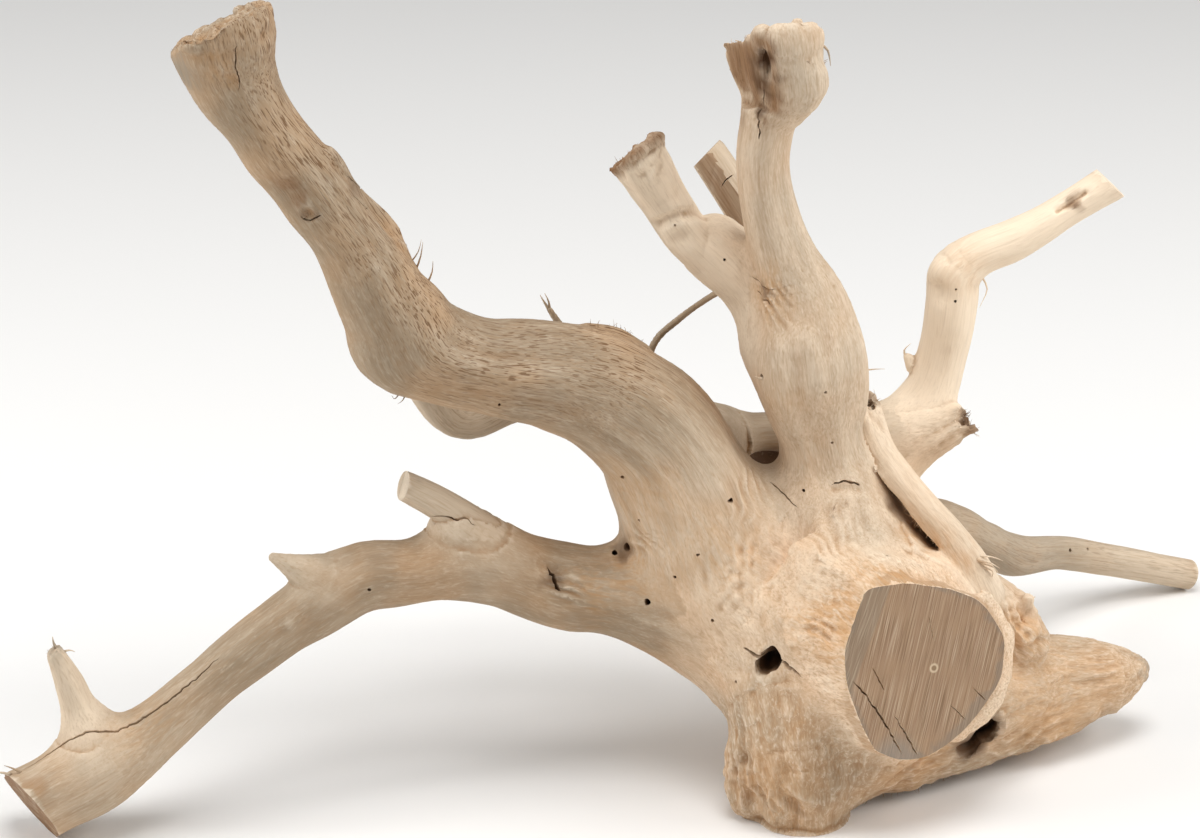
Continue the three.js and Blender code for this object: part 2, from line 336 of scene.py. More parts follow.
def outside_hollow(p, mouth, inward, radii):
    """How far each point lies outside an egg-shaped hole."""
    turn = np.array(Vector(inward).normalized().to_track_quat("Y", "Z").to_matrix())
    local = (p - np.array(mouth, float)) @ turn / np.array(radii, float)
    return (np.linalg.norm(local, axis=1) - 1) * min(radii)


def outside_slit(p):
    """How far each point lies outside the slit beside the hugging root."""
    path = np.array(SLIT, float)
    gap = np.full(len(p), FAR)
    low, high = path.min(axis=0) - SLIT_NEAR, path.max(axis=0) + SLIT_NEAR
    near = np.flatnonzero(((p > low) & (p < high)).all(axis=1))
    deep = (p[near] - path[0]) @ SLIT_INWARD
    flat = p[near] - deep[:, None] * SLIT_INWARD
    best = np.full(len(near), FAR)
    for i, (a, b) in enumerate(zip(path, path[1:])):
        a = a - (a - path[0]) @ SLIT_INWARD * SLIT_INWARD
        b = b - (b - path[0]) @ SLIT_INWARD * SLIT_INWARD
        t = np.clip((flat - a) @ (b - a) / ((b - a) @ (b - a)), 0, 1)
        along = (i + t) / (len(path) - 1)
        half = SLIT_WIDTH / 2 * np.sqrt(np.clip(4 * along * (1 - along), SLIT_TIP, 1))
        best = np.minimum(best, np.linalg.norm(flat - a - t[:, None] * (b - a), axis=1) - half)
    uneven = SLIT_UNEVEN * lattice_noise(flat / SLIT_LUMP, SEEDS["slit"])
    gap[near] = np.maximum(best - uneven, deep - SLIT_DEPTH)
    return gap


def whole_wood(p, band):
    """How far each point within the band round the skin lies outside the wood before it rotted or split."""
    total = np.full(len(p), FAR)
    for limb in limbs:
        gap, place = limb.measure(p, band + limb.fillet)
        total = grow_together(total, break_ends(limb, p, gap, place), limb.fillet)
        if limb.name == "trunk":
            total = grow_together(total, np.minimum(sawn_limb(p), FAR), SAWN_FILLET)
    return np.maximum(total, -p[:, 2])


def hollow_wood(p):
    """How far each point lies inside a hollow or the slit, negative outside them."""
    depth = -outside_slit(p)
    for mouth, inward, radii in HOLLOWS.values():
        depth = np.maximum(depth, -outside_hollow(p, mouth, inward, radii))
    return depth


# The skin of the wood is found on a fine grid: coarse cells first, then finer ones only where the skin
# passes. The finest cells are this many millimetres wide, and each coarser one holds split of them each way.
VOXEL = 1.1
SPLIT = 4
GRID_MARGIN = 6
# How far past a cell's own corners the skin is still looked for, as a factor and in millimetres.
SLACK = 1.3
SPARE = 0.5
FINE_BAND = 2 * VOXEL * SPLIT


def cell_centres(cells, size):
    """The middles of grid cells, in millimetres."""
    return grid_low + (cells + 0.5) * size


def divided(cells):
    """Every cell split into SPLIT cells each way."""
    inner = np.array(list(product(range(SPLIT), repeat=3)))
    return (cells[:, None, :] * SPLIT + inner).reshape(-1, 3)


stations = np.vstack([np.column_stack([limb.heart, limb.radius]) for limb in limbs])
grid_low = (stations[:, :3] - stations[:, 3:]).min(axis=0) - GRID_MARGIN
grid_high = (stations[:, :3] + stations[:, 3:]).max(axis=0) + GRID_MARGIN
coarse = VOXEL * SPLIT * SPLIT
shape = np.ceil((grid_high - grid_low) / coarse).astype(int)
cells = np.array(list(np.ndindex(*shape)))
field = np.ones(tuple(shape), np.float32)
for size in (coarse, coarse / SPLIT):
    band = SLACK * size * math.sqrt(3) / 2 + SPARE
    centres = cell_centres(cells, size)
    whole = whole_wood(centres, band)
    hollow = hollow_wood(centres)
    passes = (np.abs(whole) < band) | ((np.abs(hollow) < band) & (whole < band))
    field[tuple(cells.T)] = np.where(np.maximum(whole, hollow) < 0, -FAR, FAR)
    cells = divided(cells[passes])
    for axis in range(3):
        field = np.repeat(field, SPLIT, axis=axis)
centres = cell_centres(cells, VOXEL)
field[tuple(cells.T)] = np.maximum(whole_wood(centres, FINE_BAND), hollow_wood(centres))
del centres, cells, whole, hollow, passes

CORNERS = list(product((0, 1), repeat=3))
# Pinched cells are filled to just inside the skin, a few rounds over.
PINCH_ROUNDS = 12
PINCH_FILL = -0.05


def pieces_in(corners):
    """How many pieces a set of cube corners makes, joined along the cube's edges."""
    left = set(corners)
    count = 0
    while left:
        count += 1
        front = [left.pop()]
        while front:
            here = front.pop()
            beside = [c for c in left if sum(abs(i - j) for i, j in zip(c, here)) == 1]
            left.difference_update(beside)
            front += beside
    return count


def corner_views(grid):
    """The grid seen from each of a cell's eight corners."""
    return [grid[tuple(slice(c, n - 1 + c) for c, n in zip(corner, grid.shape))] for corner in CORNERS]


def close_pinches(field):
    """Fills cells where two sheets of the skin would share a point, so that the skin is one surface."""
    pinched = np.zeros(256, bool)
    for code in range(1, 255):
        inside = [c for bit, c in enumerate(CORNERS) if code >> bit & 1]
        outside = [c for bit, c in enumerate(CORNERS) if not code >> bit & 1]
        pinched[code] = pieces_in(inside) > 1 or pieces_in(outside) > 1
    for _ in range(PINCH_ROUNDS):
        code = sum(view.astype(np.uint8) << bit for bit, view in enumerate(corner_views(field < 0)))
        bad = np.argwhere(pinched[code])
        if len(bad) == 0:
            break
        for corner in CORNERS:
            at = tuple((bad + corner).T)
            field[at] = np.where(field[at] >= 0, PINCH_FILL, field[at])


def skin_of(field):
    """A closed mesh of quads on a gridded field's zero: one vertex in each cell that the skin passes."""
    inside = field < 0
    views = corner_views(inside)
    mixed = np.logical_or.reduce(views) & ~np.logical_and.reduce(views)
    cell = np.argwhere(mixed)
    value = np.stack([field[tuple((cell + corner).T)] for corner in CORNERS], axis=1)
    total = np.zeros((len(cell), 3))
    count = np.zeros(len(cell))
    for i, j in product(range(8), repeat=2):
        step = np.subtract(CORNERS[j], CORNERS[i])
        if step.min() < 0 or step.sum() != 1:
            continue
        a, b = value[:, i], value[:, j]
        crossing = (a < 0) != (b < 0)
        t = np.where(crossing, a / np.where(crossing, a - b, 1), 0)
        total += crossing[:, None] * (np.array(CORNERS[i]) + t[:, None] * step)
        count += crossing
    points = cell + total / count[:, None]
    number = np.full(mixed.shape, -1, np.int32)
    number[tuple(cell.T)] = np.arange(len(cell))
    quads = []
    for axis in range(3):
        step = np.eye(3, dtype=int)[axis]
        low = tuple(slice(None, n - s) for s, n in zip(step, field.shape))
        high = tuple(slice(s, None) for s in step)
        edge = np.argwhere(inside[low] != inside[high])
        u, v = np.eye(3, dtype=int)[(axis + 1) % 3], np.eye(3, dtype=int)[(axis + 2) % 3]
        ring = np.stack([number[tuple((edge - back).T)] for back in (u + v, v, 0 * u, u)], axis=1)
        leaving = inside[tuple(edge.T)]
        quads.append(np.where(leaving[:, None], ring, ring[:, ::-1]))
    return points, np.vstack(quads)


close_pinches(field)
points, quads = skin_of(field)
points = grid_low + (points + 0.5) * VOXEL
del field


# Weathering. Sand, sun and rot have fluted the bare wood along its fibres, lumped it where buds grew over
# and wrinkled it in the crotches. The skin is pushed in and out by millimetres to follow that.
# Fibres of neighbouring limbs blend over a few millimetres, and each limb's patterns are drawn well apart.
GRAIN_REACH = 30
GRAIN_BLEND = 9
GRAIN_APART = 211.0
NO_GRAIN = {"saddle", "shoulder", "apron", "skirt", "toe", "heel", "knob", "ridge", "flake", "lobe",
            "log_root", "collar", "fork_top_lip"}
grain_limbs = [limb for limb in limbs if limb.name not in NO_GRAIN]


def grain_of(p):
    """The two limbs whose fibres run through each point, and how much the nearer one shows."""
    near = np.full((2, len(p)), FAR)
    which = np.zeros((2, len(p)), int)
    for number, limb in enumerate(grain_limbs):
        gap, _ = limb.measure(p, GRAIN_REACH)
        first = gap < near[0]
        second = ~first & (gap < near[1])
        near[1] = np.where(first, near[0], np.where(second, gap, near[1]))
        which[1] = np.where(first, which[0], np.where(second, number, which[1]))
        near[0] = np.where(first, gap, near[0])
        which[0] = np.where(first, number, which[0])
    lead = np.clip((near[1] - near[0]) / GRAIN_BLEND, 0, 1)
    return which, 0.5 + 0.5 * lead * lead * (3 - 2 * lead)


def grain_places(p, which):
    """Each point's place in the fibres of the limb given for it, and that limb's radius there."""
    grain = np.zeros((len(p), 3))
    radius = np.zeros(len(p))
    for number, limb in enumerate(grain_limbs):
        mine = np.flatnonzero(which == number)
        _, place = limb.measure(p[mine], FAR)
        grain[mine] = limb.straighten(p[mine], place) + GRAIN_APART * number
        radius[mine] = np.interp(place, np.arange(len(limb.radius)), limb.radius)
    return grain, radius


def skin_normals(points, faces):
    """Each point's outward direction, from the faces round it."""
    a, b, c, d = (points[faces[:, i]] for i in range(4))
    out = np.cross(c - a, d - b)
    total = np.stack([sum(np.bincount(faces[:, i], out[:, axis], len(points)) for i in range(4))
                      for axis in range(3)], axis=1)
    return total / np.linalg.norm(total, axis=1)[:, None]


def fade(p, middle, reach):
    """One at the middle of a round patch, falling smoothly to nothing at its reach."""
    t = np.clip(1 - np.linalg.norm(p - np.array(middle, float), axis=1) / reach, 0, 1)
    return t * t * (3 - 2 * t)


# Long lumps, and flutes along the fibres: wave lengths along and across the fibre and depth, in millimetres.
LUMPS = [((42, 42, 42), 3.0), ((18, 18, 18), 1.5)]
FLUTES = [((75, 10, 10), 1.5), ((40, 5, 5), 0.4)]
# Limbs thinner than this radius are smoother, by a power of their share of it.
THICK = 18
THIN_POWER = 1.5
THIN_LEAST = 0.08
# The curled figure of the crown: sinuous folds that follow the fibres of the limbs named. They bend by a
# share of their width, over a multiple of it, and are sharp below and blunt above.
FOLDS = [((26, 7, 7), 0.75), ((12, 3.8, 3.8), 0.4)]
FOLD_BEND = 0.5
FOLD_BEND_LENGTH = 1.6
FOLD_CREST = 0.4
FOLD_SHARP = 2.2
CURLY = {"crown": 1.0, "trunk": 1.0, "foot": 0.9, "web": 0.9, "burr": 0.9, "buttress": 0.8,
         "under_root": 0.8}
# Wrinkled places: middle, reach, the way across the wrinkles, their pitch and depth. They wander and break
# off, by shares of the pitch and over multiples of it.
WANDER = 0.9
WANDER_LENGTH = 2.6
BREAKING = 0.45
BREAKING_LENGTH = 1.7
WRINKLES = [
    ((36, -86, 104), 24, (0.9, -0.4, 0.25), 4.6, 1.0),
    ((70, -118, 95), 30, (0.15, 0.1, 1.0), 5.0, 1.3),
    ((92, -108, 116), 27, (0.3, 0.2, 0.9), 5.5, 1.2),
    ((50, -57, 209), 16, (0.5, -0.2, 0.85), 4.4, 1.3),
    ((150, -68, 70), 26, (0.75, -0.2, 0.62), 5.0, 1.5),
    ((40, -70, 132), 22, (1.0, 0.2, 0.3), 5.0, 1.1),
    ((-2, -74, 110), 18, (0.6, 0.0, 0.8), 4.2, 0.8),
    ((72, -82, 118), 26, (0.9, 0.3, -0.1), 5.0, 0.9),
    ((38, -110, 22), 30, (0.8, -0.5, 0.35), 9.0, 2.4),
    ((60, -122, 22), 26, (0.75, -0.2, 0.6), 10.0, 1.8),
    ((158, -60, 18), 36, (-0.35, 0.3, 0.88), 6.5, 1.4),
    ((190, -38, 34), 28, (-0.25, 0.3, 0.9), 6.0, 0.9),
    ((112, -98, 28), 30, (-0.3, 0.2, 0.95), 6.5, 1.6),
    ((-100, -80, 245), 28, (0.8, 0.3, 0.5), 4.6, 0.7),
    ((-33, -76, 96), 14, (0.45, 0.2, 0.85), 3.8, 1.3),
]
# Knobbly places, where bark and buds left lumps, and crumbled ends: middle, reach, height and size of the
# lumps, which carry lumps of half their size and height.
KNOBBLY = [((153, -58, 66), 24, 3.2, 6.5), ((140, -72, 62), 18, 1.6, 6.5), ((38, -106, 20), 28, 2.6, 6.5),
           ((-5, -37, 267), 24, 1.8, 6.5), ((134, -8, 138), 16, 2.0, 6.5), ((112, -85, 8), 34, 1.8, 6.5),
           ((206, -24, 28), 14, 1.5, 6.5), ((-152, -112, 338), 20, 1.6, 6.5), ((160, -50, 12), 30, 1.6, 6.5),
           ((20, -8, 120), 25, 1.2, 6.5), ((-6, -38, 267), 16, 2.4, 2.4), ((134, -8, 139), 10, 1.4, 2.8),
           ((46, -57, 320), 18, 1.0, 3.2), ((-154, -108, 342), 22, 1.1, 3.2), ((90, -28, 155), 9, 1.2, 2.8),
           ((48, -78, 113), 13, 0.9, 3.6), ((36, -86, 104), 13, 0.9, 3.6), ((32, -90, 92), 12, 0.8, 3.6)]
# Single bumps and dents: middle, reach and height.
BUMPS = [((-144, -102, 89), 6, 1.2), ((118, 8, 201), 9, 2.4), ((122, 4, 191), 8, -1.6),
         ((12, -43, 232), 9, -1.4), ((-137, -111, 272), 9, -1.3), ((-131, -110, 263), 5, -2.4),
         ((-38, -76, 98), 9, -2.2), ((-42, -74, 102), 6, -1.6), ((60, -68, 196), 11, 1.4),
         ((50, -66, 200), 8, -1.6), ((96, -88, 122), 12, 1.2), ((20, -96, 92), 16, 1.5),
         ((34, -112, 58), 16, -1.8), ((66, -124, 60), 18, 1.2), ((-10, -66, 104), 7, -2.2),
         ((140, -85, 50), 14, -2.0), ((8, -78, 118), 14, -1.2), ((54, -90, 134), 16, 1.0)]
# Creases: a path on the skin, how far the crease reaches to each side, and its depth.
CREASES = [
    ([(2, -40, 235), (7, -43, 239), (13, -42, 241), (19, -36, 240), (22, -32, 238)], 4.5, 2.2),
    ([(41, -46, 221), (43, -48, 215), (46, -54, 213), (51, -56, 211), (56, -60, 209)], 4.0, 1.8),
    ([(112, -14, 131), (122, -13, 136), (131, -11, 141)], 3.0, 1.4),
    ([(112, -12, 124), (122, -14, 130), (130, -13, 136)], 3.0, 1.2),
    ([(33, -104, 50), (35, -107, 36), (40, -110, 22), (46, -113, 8)], 5.0, 2.6),
    ([(51, -110, 40), (56, -118, 24), (61, -121, 10)], 5.0, 2.0),
    ([(-121, -100, 281), (-112, -90, 263), (-101, -84, 247), (-94, -80, 233)], 3.6, 1.0),
    ([(171, 17, 223), (176, 18, 226), (182, 20, 230)], 2.6, 2.4),
    ([(152, -70, 88), (156, -70, 66), (150, -78, 48), (138, -88, 38)], 5.5, 1.8),
    ([(75, -66, 132), (80, -66, 132.5), (85, -65, 131.5)], 3.4, 1.3),
]
# The wood is calmer within this many millimetres of the saw's plane, where the limb was still round.
CALM_RIM = 12
CALM_LEAST = 0.12
CALM_REACH = 60
# What lies this near the ground stays flat on it.
GROUND_RIM = 0.5


def weather(p):
    """How far the weathered surface stands out at each point of the skin, in millimetres."""
    which, lead = grain_of(p)
    grain_a, radius = grain_places(p, which[0])
    grain_b, _ = grain_places(p, which[1])
    stout = np.clip((radius / THICK) ** THIN_POWER, THIN_LEAST, 1)
    out = np.zeros(len(p))
    for seed, (length, height) in enumerate(LUMPS):
        out += stout * height * lattice_noise(p / np.array(length), SEEDS["lump"] + seed)
    for seed, (length, height) in enumerate(FLUTES):
        flute_a = lattice_noise(grain_a / np.array(length), SEEDS["flute"] + seed)
        flute_b = lattice_noise(grain_b / np.array(length), SEEDS["flute"] + seed)
        out += stout * height * (lead * flute_a + (1 - lead) * flute_b)
    curly = np.array([CURLY.get(limb.name, 0.0) for limb in grain_limbs])
    curl = lead * curly[which[0]] + (1 - lead) * curly[which[1]]
    for seed, (length, height) in enumerate(FOLDS):
        width = length[1]
        bend = lattice_noise(p / (FOLD_BEND_LENGTH * width), SEEDS["bend"] + seed)
        bend = FOLD_BEND * width * bend[:, None]
        for grain, share in ((grain_a, lead), (grain_b, 1 - lead)):
            fold = lattice_noise((grain + bend) / np.array(length), SEEDS["fold"] + seed)
            out += share * curl * height * (FOLD_CREST - np.abs(FOLD_SHARP * fold))
    for middle, reach, across, pitch, depth in WRINKLES:
        here = np.flatnonzero(np.linalg.norm(p - np.array(middle, float), axis=1) < reach)
        q = p[here]
        across = np.array(across) / np.linalg.norm(across)
        wave = q @ across / pitch + WANDER * lattice_noise(q / (WANDER_LENGTH * pitch), SEEDS["wrinkle"])
        broken = lattice_noise(q / (BREAKING_LENGTH * pitch), SEEDS["wrinkle"] + 1)
        broken = 1 - BREAKING + BREAKING * broken
        out[here] += depth * broken * (1 - 2 * np.abs(np.sin(math.pi * wave))) * fade(q, middle, reach)
    for middle, reach, height, size in KNOBBLY:
        here = np.flatnonzero(np.linalg.norm(p - np.array(middle, float), axis=1) < reach)
        q = p[here]
        lumps = lattice_noise(q / size, SEEDS["knob"]) + 0.5 * lattice_noise(2 * q / size, SEEDS["knob"] + 1)
        out[here] += height * lumps * fade(q, middle, reach)
    for middle, reach, height in BUMPS:
        out += height * fade(p, middle, reach)
    for path, reach, depth in CREASES:
        path = np.array(path, float)
        here = np.flatnonzero(((p > path.min(axis=0) - reach) & (p < path.max(axis=0) + reach)).all(axis=1))
        away = np.full(len(here), FAR)
        for a, b in zip(path, path[1:]):
            t = np.clip((p[here] - a) @ (b - a) / ((b - a) @ (b - a)), 0, 1)
            away = np.minimum(away, np.linalg.norm(p[here] - a - t[:, None] * (b - a), axis=1))
        inside = np.clip(1 - away / reach, 0, 1)
        out[here] -= depth * inside * inside * (3 - 2 * inside)
    return out


ground = points[:, 2] < GROUND_RIM
from_saw = np.abs((points - SAWN_CENTRE) @ SAWN_NORMAL)
from_saw += FAR * (np.linalg.norm(points - SAWN_CENTRE, axis=1) > CALM_REACH)
moved = np.where(ground, 0, weather(points)) * np.clip(from_saw / CALM_RIM, CALM_LEAST, 1)
points += moved[:, None] * skin_normals(points, quads)
points[:, 2] = np.maximum(points[:, 2], 0)


def make_mesh(name, points, faces):
    """A mesh object from points in millimetres and rows of face corners."""
    mesh = bpy.data.meshes.new(name)
    mesh.from_pydata(points * MM, [], faces)
    mesh.update()
    made = bpy.data.objects.new(name, mesh)
    bpy.context.scene.collection.objects.link(made)
    return made


def bake_modifiers(made):
    """Replaces an object's mesh by the one its modifiers give."""
    bpy.context.view_layer.update()
    graph = bpy.context.evaluated_depsgraph_get()
    mesh = bpy.data.meshes.new_from_object(made.evaluated_get(graph))
    made.modifiers.clear()
    made.data = mesh


def drop_bubbles(mesh):
    """Deletes every small closed shell, such as a bubble inside the wood, and keeps the largest."""
    shape = bmesh.new()
    shape.from_mesh(mesh)
    left = set(shape.verts)
    shells = []
    while left:
        shell = [left.pop()]
        for point in shell:
            beside = left.intersection(edge.other_vert(point) for edge in point.link_edges)
            left -= beside
            shell += beside
        shells.append(shell)
    shells.sort(key=len)
    small = [point for shell in shells[:-1] for point in shell]
    bmesh.ops.delete(shape, geom=small, context="VERTS")
    shape.to_mesh(mesh)
    shape.free()


# The mesh is thinned out to about this many triangles.
MOST_FACES = 180000
wood = make_mesh("driftwood_wood", points, quads)
thin_out = wood.modifiers.new("thin_out", "DECIMATE")
thin_out.ratio = min(1.0, MOST_FACES / (2 * len(quads)))
bake_modifiers(wood)
drop_bubbles(wood.data)


def mesh_points(mesh):
    """A mesh's points in millimetres, a row to each."""
    co = np.empty(len(mesh.vertices) * 3, np.float32)
    mesh.vertices.foreach_get("co", co)
    return co.reshape(-1, 3).astype(float) / MM


# Saw cuts. The short front limb was sawn through, and one edge of its face was shaved down with a blade.
# Five other ends were cut flat. Each is cut by a block whose lower face lies on the cut.
SAW_LEAN = math.radians(18)
SAW_ACROSS = math.cos(SAW_LEAN) * SAWN_ACROSS - math.sin(SAW_LEAN) * SAWN_UP
SAW_ALONG = math.sin(SAW_LEAN) * SAWN_ACROSS + math.cos(SAW_LEAN) * SAWN_UP
SAW_REACH = 50
# The saw's teeth left marks this far apart and deep, and level over a run of this many.
SAW_PITCH = 0.9
SAW_MARK = 0.11
SAW_LEVEL = 9
CUT_HEIGHT = 30
# The shaved edges: the edge's two ends, in millimetres across and up the face, and the slant in degrees.
SHAVED = [((-16, 38), (-33, 5), 15)]
SHAVED_WIDTH = 18
SHAVED_OVER = 9
# The flat ends: a point on the cut, the way it looks and how far the block reaches to each side.
FLAT_ENDS = [((-250, -118, 16), (-0.72, -0.50, -0.48), 32), ((194, 29, 231), (0.68, 0.1, 0.72), 15),
             ((23, 10, 249), (-0.72, 0.22, 0.66), 14), ((-99, -76, 138), (-0.88, -0.3, 0.35), 10),
             ((255, 126, 7), (0.86, 0.4, -0.3), 13)]
# The stub behind the fork was also split down its length.
SPLIT_FACE = ((27, 2, 243), (-0.39, -0.87, -0.05), 26)
SPLIT_HEIGHT = 10
# A way that no cut looks, to lay its block out by.
CUT_ASKEW = (0.2, 0.9, 0.3)


class Shell:
    """Closed shells of rings, gathered into one mesh."""

    def __init__(self):
        self.points = []
        self.faces = []

    def add(self, rings):
        """One closed shell: its side between each ring and the next, and a cap at both ends."""
        start = len(self.points)
        sides = len(rings[0])
        for ring in rings:
            self.points += list(ring)
        for i in range(len(rings) - 1):
            low = start + i * sides
            for j in range(sides):
                k = (j + 1) % sides
                self.faces.append((low + j, low + k, low + sides + k, low + sides + j))
        self.faces.append(tuple(range(start + sides - 1, start - 1, -1)))
        last = start + (len(rings) - 1) * sides
        self.faces.append(tuple(range(last, last + sides)))

    def object(self, name):
        """The gathered shells as one object of triangles, facing outward."""
        made = make_mesh(name, np.array(self.points), self.faces)
        shape = bmesh.new()
        shape.from_mesh(made.data)
        bmesh.ops.triangulate(shape, faces=shape.faces)
        bmesh.ops.recalc_face_normals(shape, faces=shape.faces)
        shape.to_mesh(made.data)
        shape.free()
        return made


def cut_block(middle, across, along, look, reach, heights, top=CUT_HEIGHT):
    """The rings of a block on a cut, its lower face at the given heights in even steps across it."""
    rings = []
    for step, height in zip(np.linspace(-reach[0], reach[0], len(heights)), heights):
        low = middle + step * across + height * look
        high = middle + step * across + top * look
        end = reach[1] * along
        rings.append((low - end, low + end, high + end, high - end))
    return rings


def flat_block(point, look, reach, top=CUT_HEIGHT):
    """The rings of a block whose lower face is flat."""
    look = np.array(look) / np.linalg.norm(look)
    across = np.cross(look, CUT_ASKEW)
    across /= np.linalg.norm(across)
    return cut_block(np.array(point, float), across, np.cross(look, across), look, (reach, reach), (0, 0),
                     top)


def cut_away(shells, name):
    """Cuts a set of closed shells out of the wood."""
    cutter = Shell()
    for rings in shells:
        cutter.add(rings)
    cutter = cutter.object(name)
    cut = wood.modifiers.new(name, "BOOLEAN")
    cut.operation = "DIFFERENCE"
    cut.solver = "MANIFOLD"
    cut.object = cutter
    bake_modifiers(wood)
    bpy.data.objects.remove(cutter)


random = np.random.default_rng(5)
teeth = np.cumsum(random.normal(0, SAW_MARK, round(2 * SAW_REACH / SAW_PITCH)))
teeth -= np.convolve(teeth, np.ones(SAW_LEVEL) / SAW_LEVEL, "same")
teeth -= teeth.mean()
sawn_planes = [(SAWN_CENTRE, SAWN_NORMAL)]
saw = cut_block(SAWN_CENTRE, SAW_ACROSS, SAW_ALONG, SAWN_NORMAL, (SAW_REACH, SAW_REACH), teeth)
cut_away([saw], "saw_cut")
for start, end, slant in SHAVED:
    edge = np.subtract(end, start) / math.dist(start, end)
    along = edge[0] * SAWN_ACROSS + edge[1] * SAWN_UP
    away = np.cross(along, SAWN_NORMAL)
    away *= -math.copysign(1, away @ SAWN_ACROSS)
    slant = math.radians(slant)
    down = math.cos(slant) * away - math.sin(slant) * SAWN_NORMAL
    look = math.sin(slant) * away + math.cos(slant) * SAWN_NORMAL
    middle = SAWN_CENTRE + np.add(start, end)[0] / 2 * SAWN_ACROSS + np.add(start, end)[1] / 2 * SAWN_UP
    reach = (SHAVED_WIDTH / 2, math.dist(start, end) / 2 + SHAVED_OVER)
    sawn_planes.append((middle, look))
    cut_away([cut_block(middle + SHAVED_WIDTH / 2 * down, down, along, look, reach, (0, 0))], "shaved_edge")
cut_away([flat_block(*end) for end in FLAT_ENDS], "flat_ends")
cut_away([flat_block(*SPLIT_FACE, SPLIT_HEIGHT)], "split_face")


# Cracks and worm holes. The wood split along its fibres as it dried, and beetles bored in where it was soft.
# Each is cut into the skin: by a blade along a crack's path, with its width and depth, or by a round bit.
CRACKS = [
    ([(-252, -121, 34), (-242, -119, 38), (-233, -119, 44), (-224, -121, 50), (-214, -120, 50),
      (-205, -115, 51), (-194, -112, 58), (-183, -108, 66), (-172, -104, 74)], 1.1, 1.3),
    ([(38, -95, 75), (43, -98, 73), (49, -99, 73)], 1.8, 5.0),
    ([(51, -103, 74), (56, -106, 73), (62, -111, 71)], 2.2, 5.0),
    ([(-41, -74, 101), (-39, -75, 98), (-38, -76, 94), (-36, -77, 91)], 1.8, 3.5),
    ([(74, -66, 134), (78, -65, 135), (82, -65, 134), (86, -64, 133)], 1.7, 1.8),
    ([(49, -57, 131), (55, -62, 128), (60, -69, 125)], 0.8, 1.3),
    ([(-154, -125, 336), (-155, -124, 326), (-153, -123, 315)], 0.7, 1.2),
    ([(-118, -94, 275), (-113, -84, 264), (-104, -79, 252), (-97, -76, 241)], 0.7, 1.2),
    ([(-116, -98, 268), (-110, -90, 258), (-103, -86, 248)], 0.6, 1.0),
    ([(-135, -108, 261), (-130, -108, 261), (-126, -109, 263)], 1.0, 1.3),
    ([(-90, -80, 123), (-84, -80, 126), (-79, -78, 124.5), (-71, -76, 120)], 0.9, 1.3),
    ([(30, 2, 238), (32, 1, 242), (35, 1, 244)], 0.8, 1.5),
    ([(40, -45, 216), (45, -52, 215), (50, -56, 215)], 0.7, 1.2),
    ([(43, -48, 211), (47, -54, 209), (49, -56, 207)], 0.9, 1.5),
    ([(42, -67, 300), (41, -65, 290), (42, -64, 279)], 0.9, 3.0),
]
SAWN_CRACKS = [
    ([(-35, 4), (-30, -2), (-23, -13), (-18, -23), (-14, -31)], 1.1, 5.0),
    ([(-17, -14), (-12, -23), (-7, -33)], 0.9, 4.0),
    ([(-26, 8), (-23, 2), (-21, -3)], 0.6, 2.5),
    ([(1, 24), (2, 18), (3, 13)], 0.5, 2.5),
    ([(20, -10), (26, -17)], 0.6, 2.5),
    ([(9, -15), (16, -23)], 0.5, 2.0),
]
WORM_HOLES = [
    ((-1, -78, 87), 1.5), ((-11, -75, 141), 1.0), ((36, -79, 132), 1.4), ((62, -70, 134), 0.7),
    ((128, 2, 188), 0.6), ((46, -60, 179), 1.1), ((-10, -64, 105), 1.7), ((-14, -63, 103), 1.3),
    ((128, 2, 193), 0.5), ((24, -93, 84), 0.8), ((20, -90, 112), 0.8), ((-4, -74, 122), 0.7),
    ((35, -96, 60), 0.8), ((12, -77, 100), 0.8), ((-112, -96, 100), 0.8), ((75, -66, 150), 0.7),
    ((200, 92, 34), 0.8), ((192, 83, 38), 0.9), ((70, -68, 175), 0.7), ((10, -42, 236), 0.6),
    ((30, -42, 222), 0.6), ((-60, -80, 178), 0.6), ((98, -88, 118), 0.7),
]
CRACK_STEP = 1.3
# A crack's blade starts above the skin, wanders to the sides, and varies in width down to its tips.
BLADE_ABOVE = 1.5
BLADE_ROUNDS = 3
CRACK_WANDER = 0.18
CRACK_UNEVEN = (0.7, 1.2)
CRACK_TIP = 0.012
# A bore's depths below the skin and its share of the hole's radius at each. It leans and is out of round.
HOLE_DEPTH = 7
BORE = ((-1.5, 1.15), (0.6, 0.95), (HOLE_DEPTH * 0.6, 0.85), (HOLE_DEPTH, 0.35))
HOLE_SIDES = 10
HOLE_UNEVEN = (0.82, 1.18)
HOLE_LEAN = 0.25
HOLE_ASKEW = (0.3, 0.5, 0.81)
skin = BVHTree.FromObject(wood, bpy.context.evaluated_depsgraph_get())
whole_skin = wood.data.copy()


def on_skin(point):
    """The nearest point of the wood's skin, in millimetres, and the way it looks."""
    spot, look, _, _ = skin.find_nearest(Vector(point) * MM)
    return np.array(spot) / MM, np.array(look)


def stepped(path, step):
    """A path through the given points, cut into even steps."""
    path = np.array(path, float)
    length = np.concatenate([[0], np.cumsum(np.linalg.norm(np.diff(path, axis=0), axis=1))])
    at = np.linspace(0, length[-1], max(4, round(length[-1] / step) + 1))
    return np.stack([np.interp(at, length, path[:, axis]) for axis in range(path.shape[1])], axis=1)


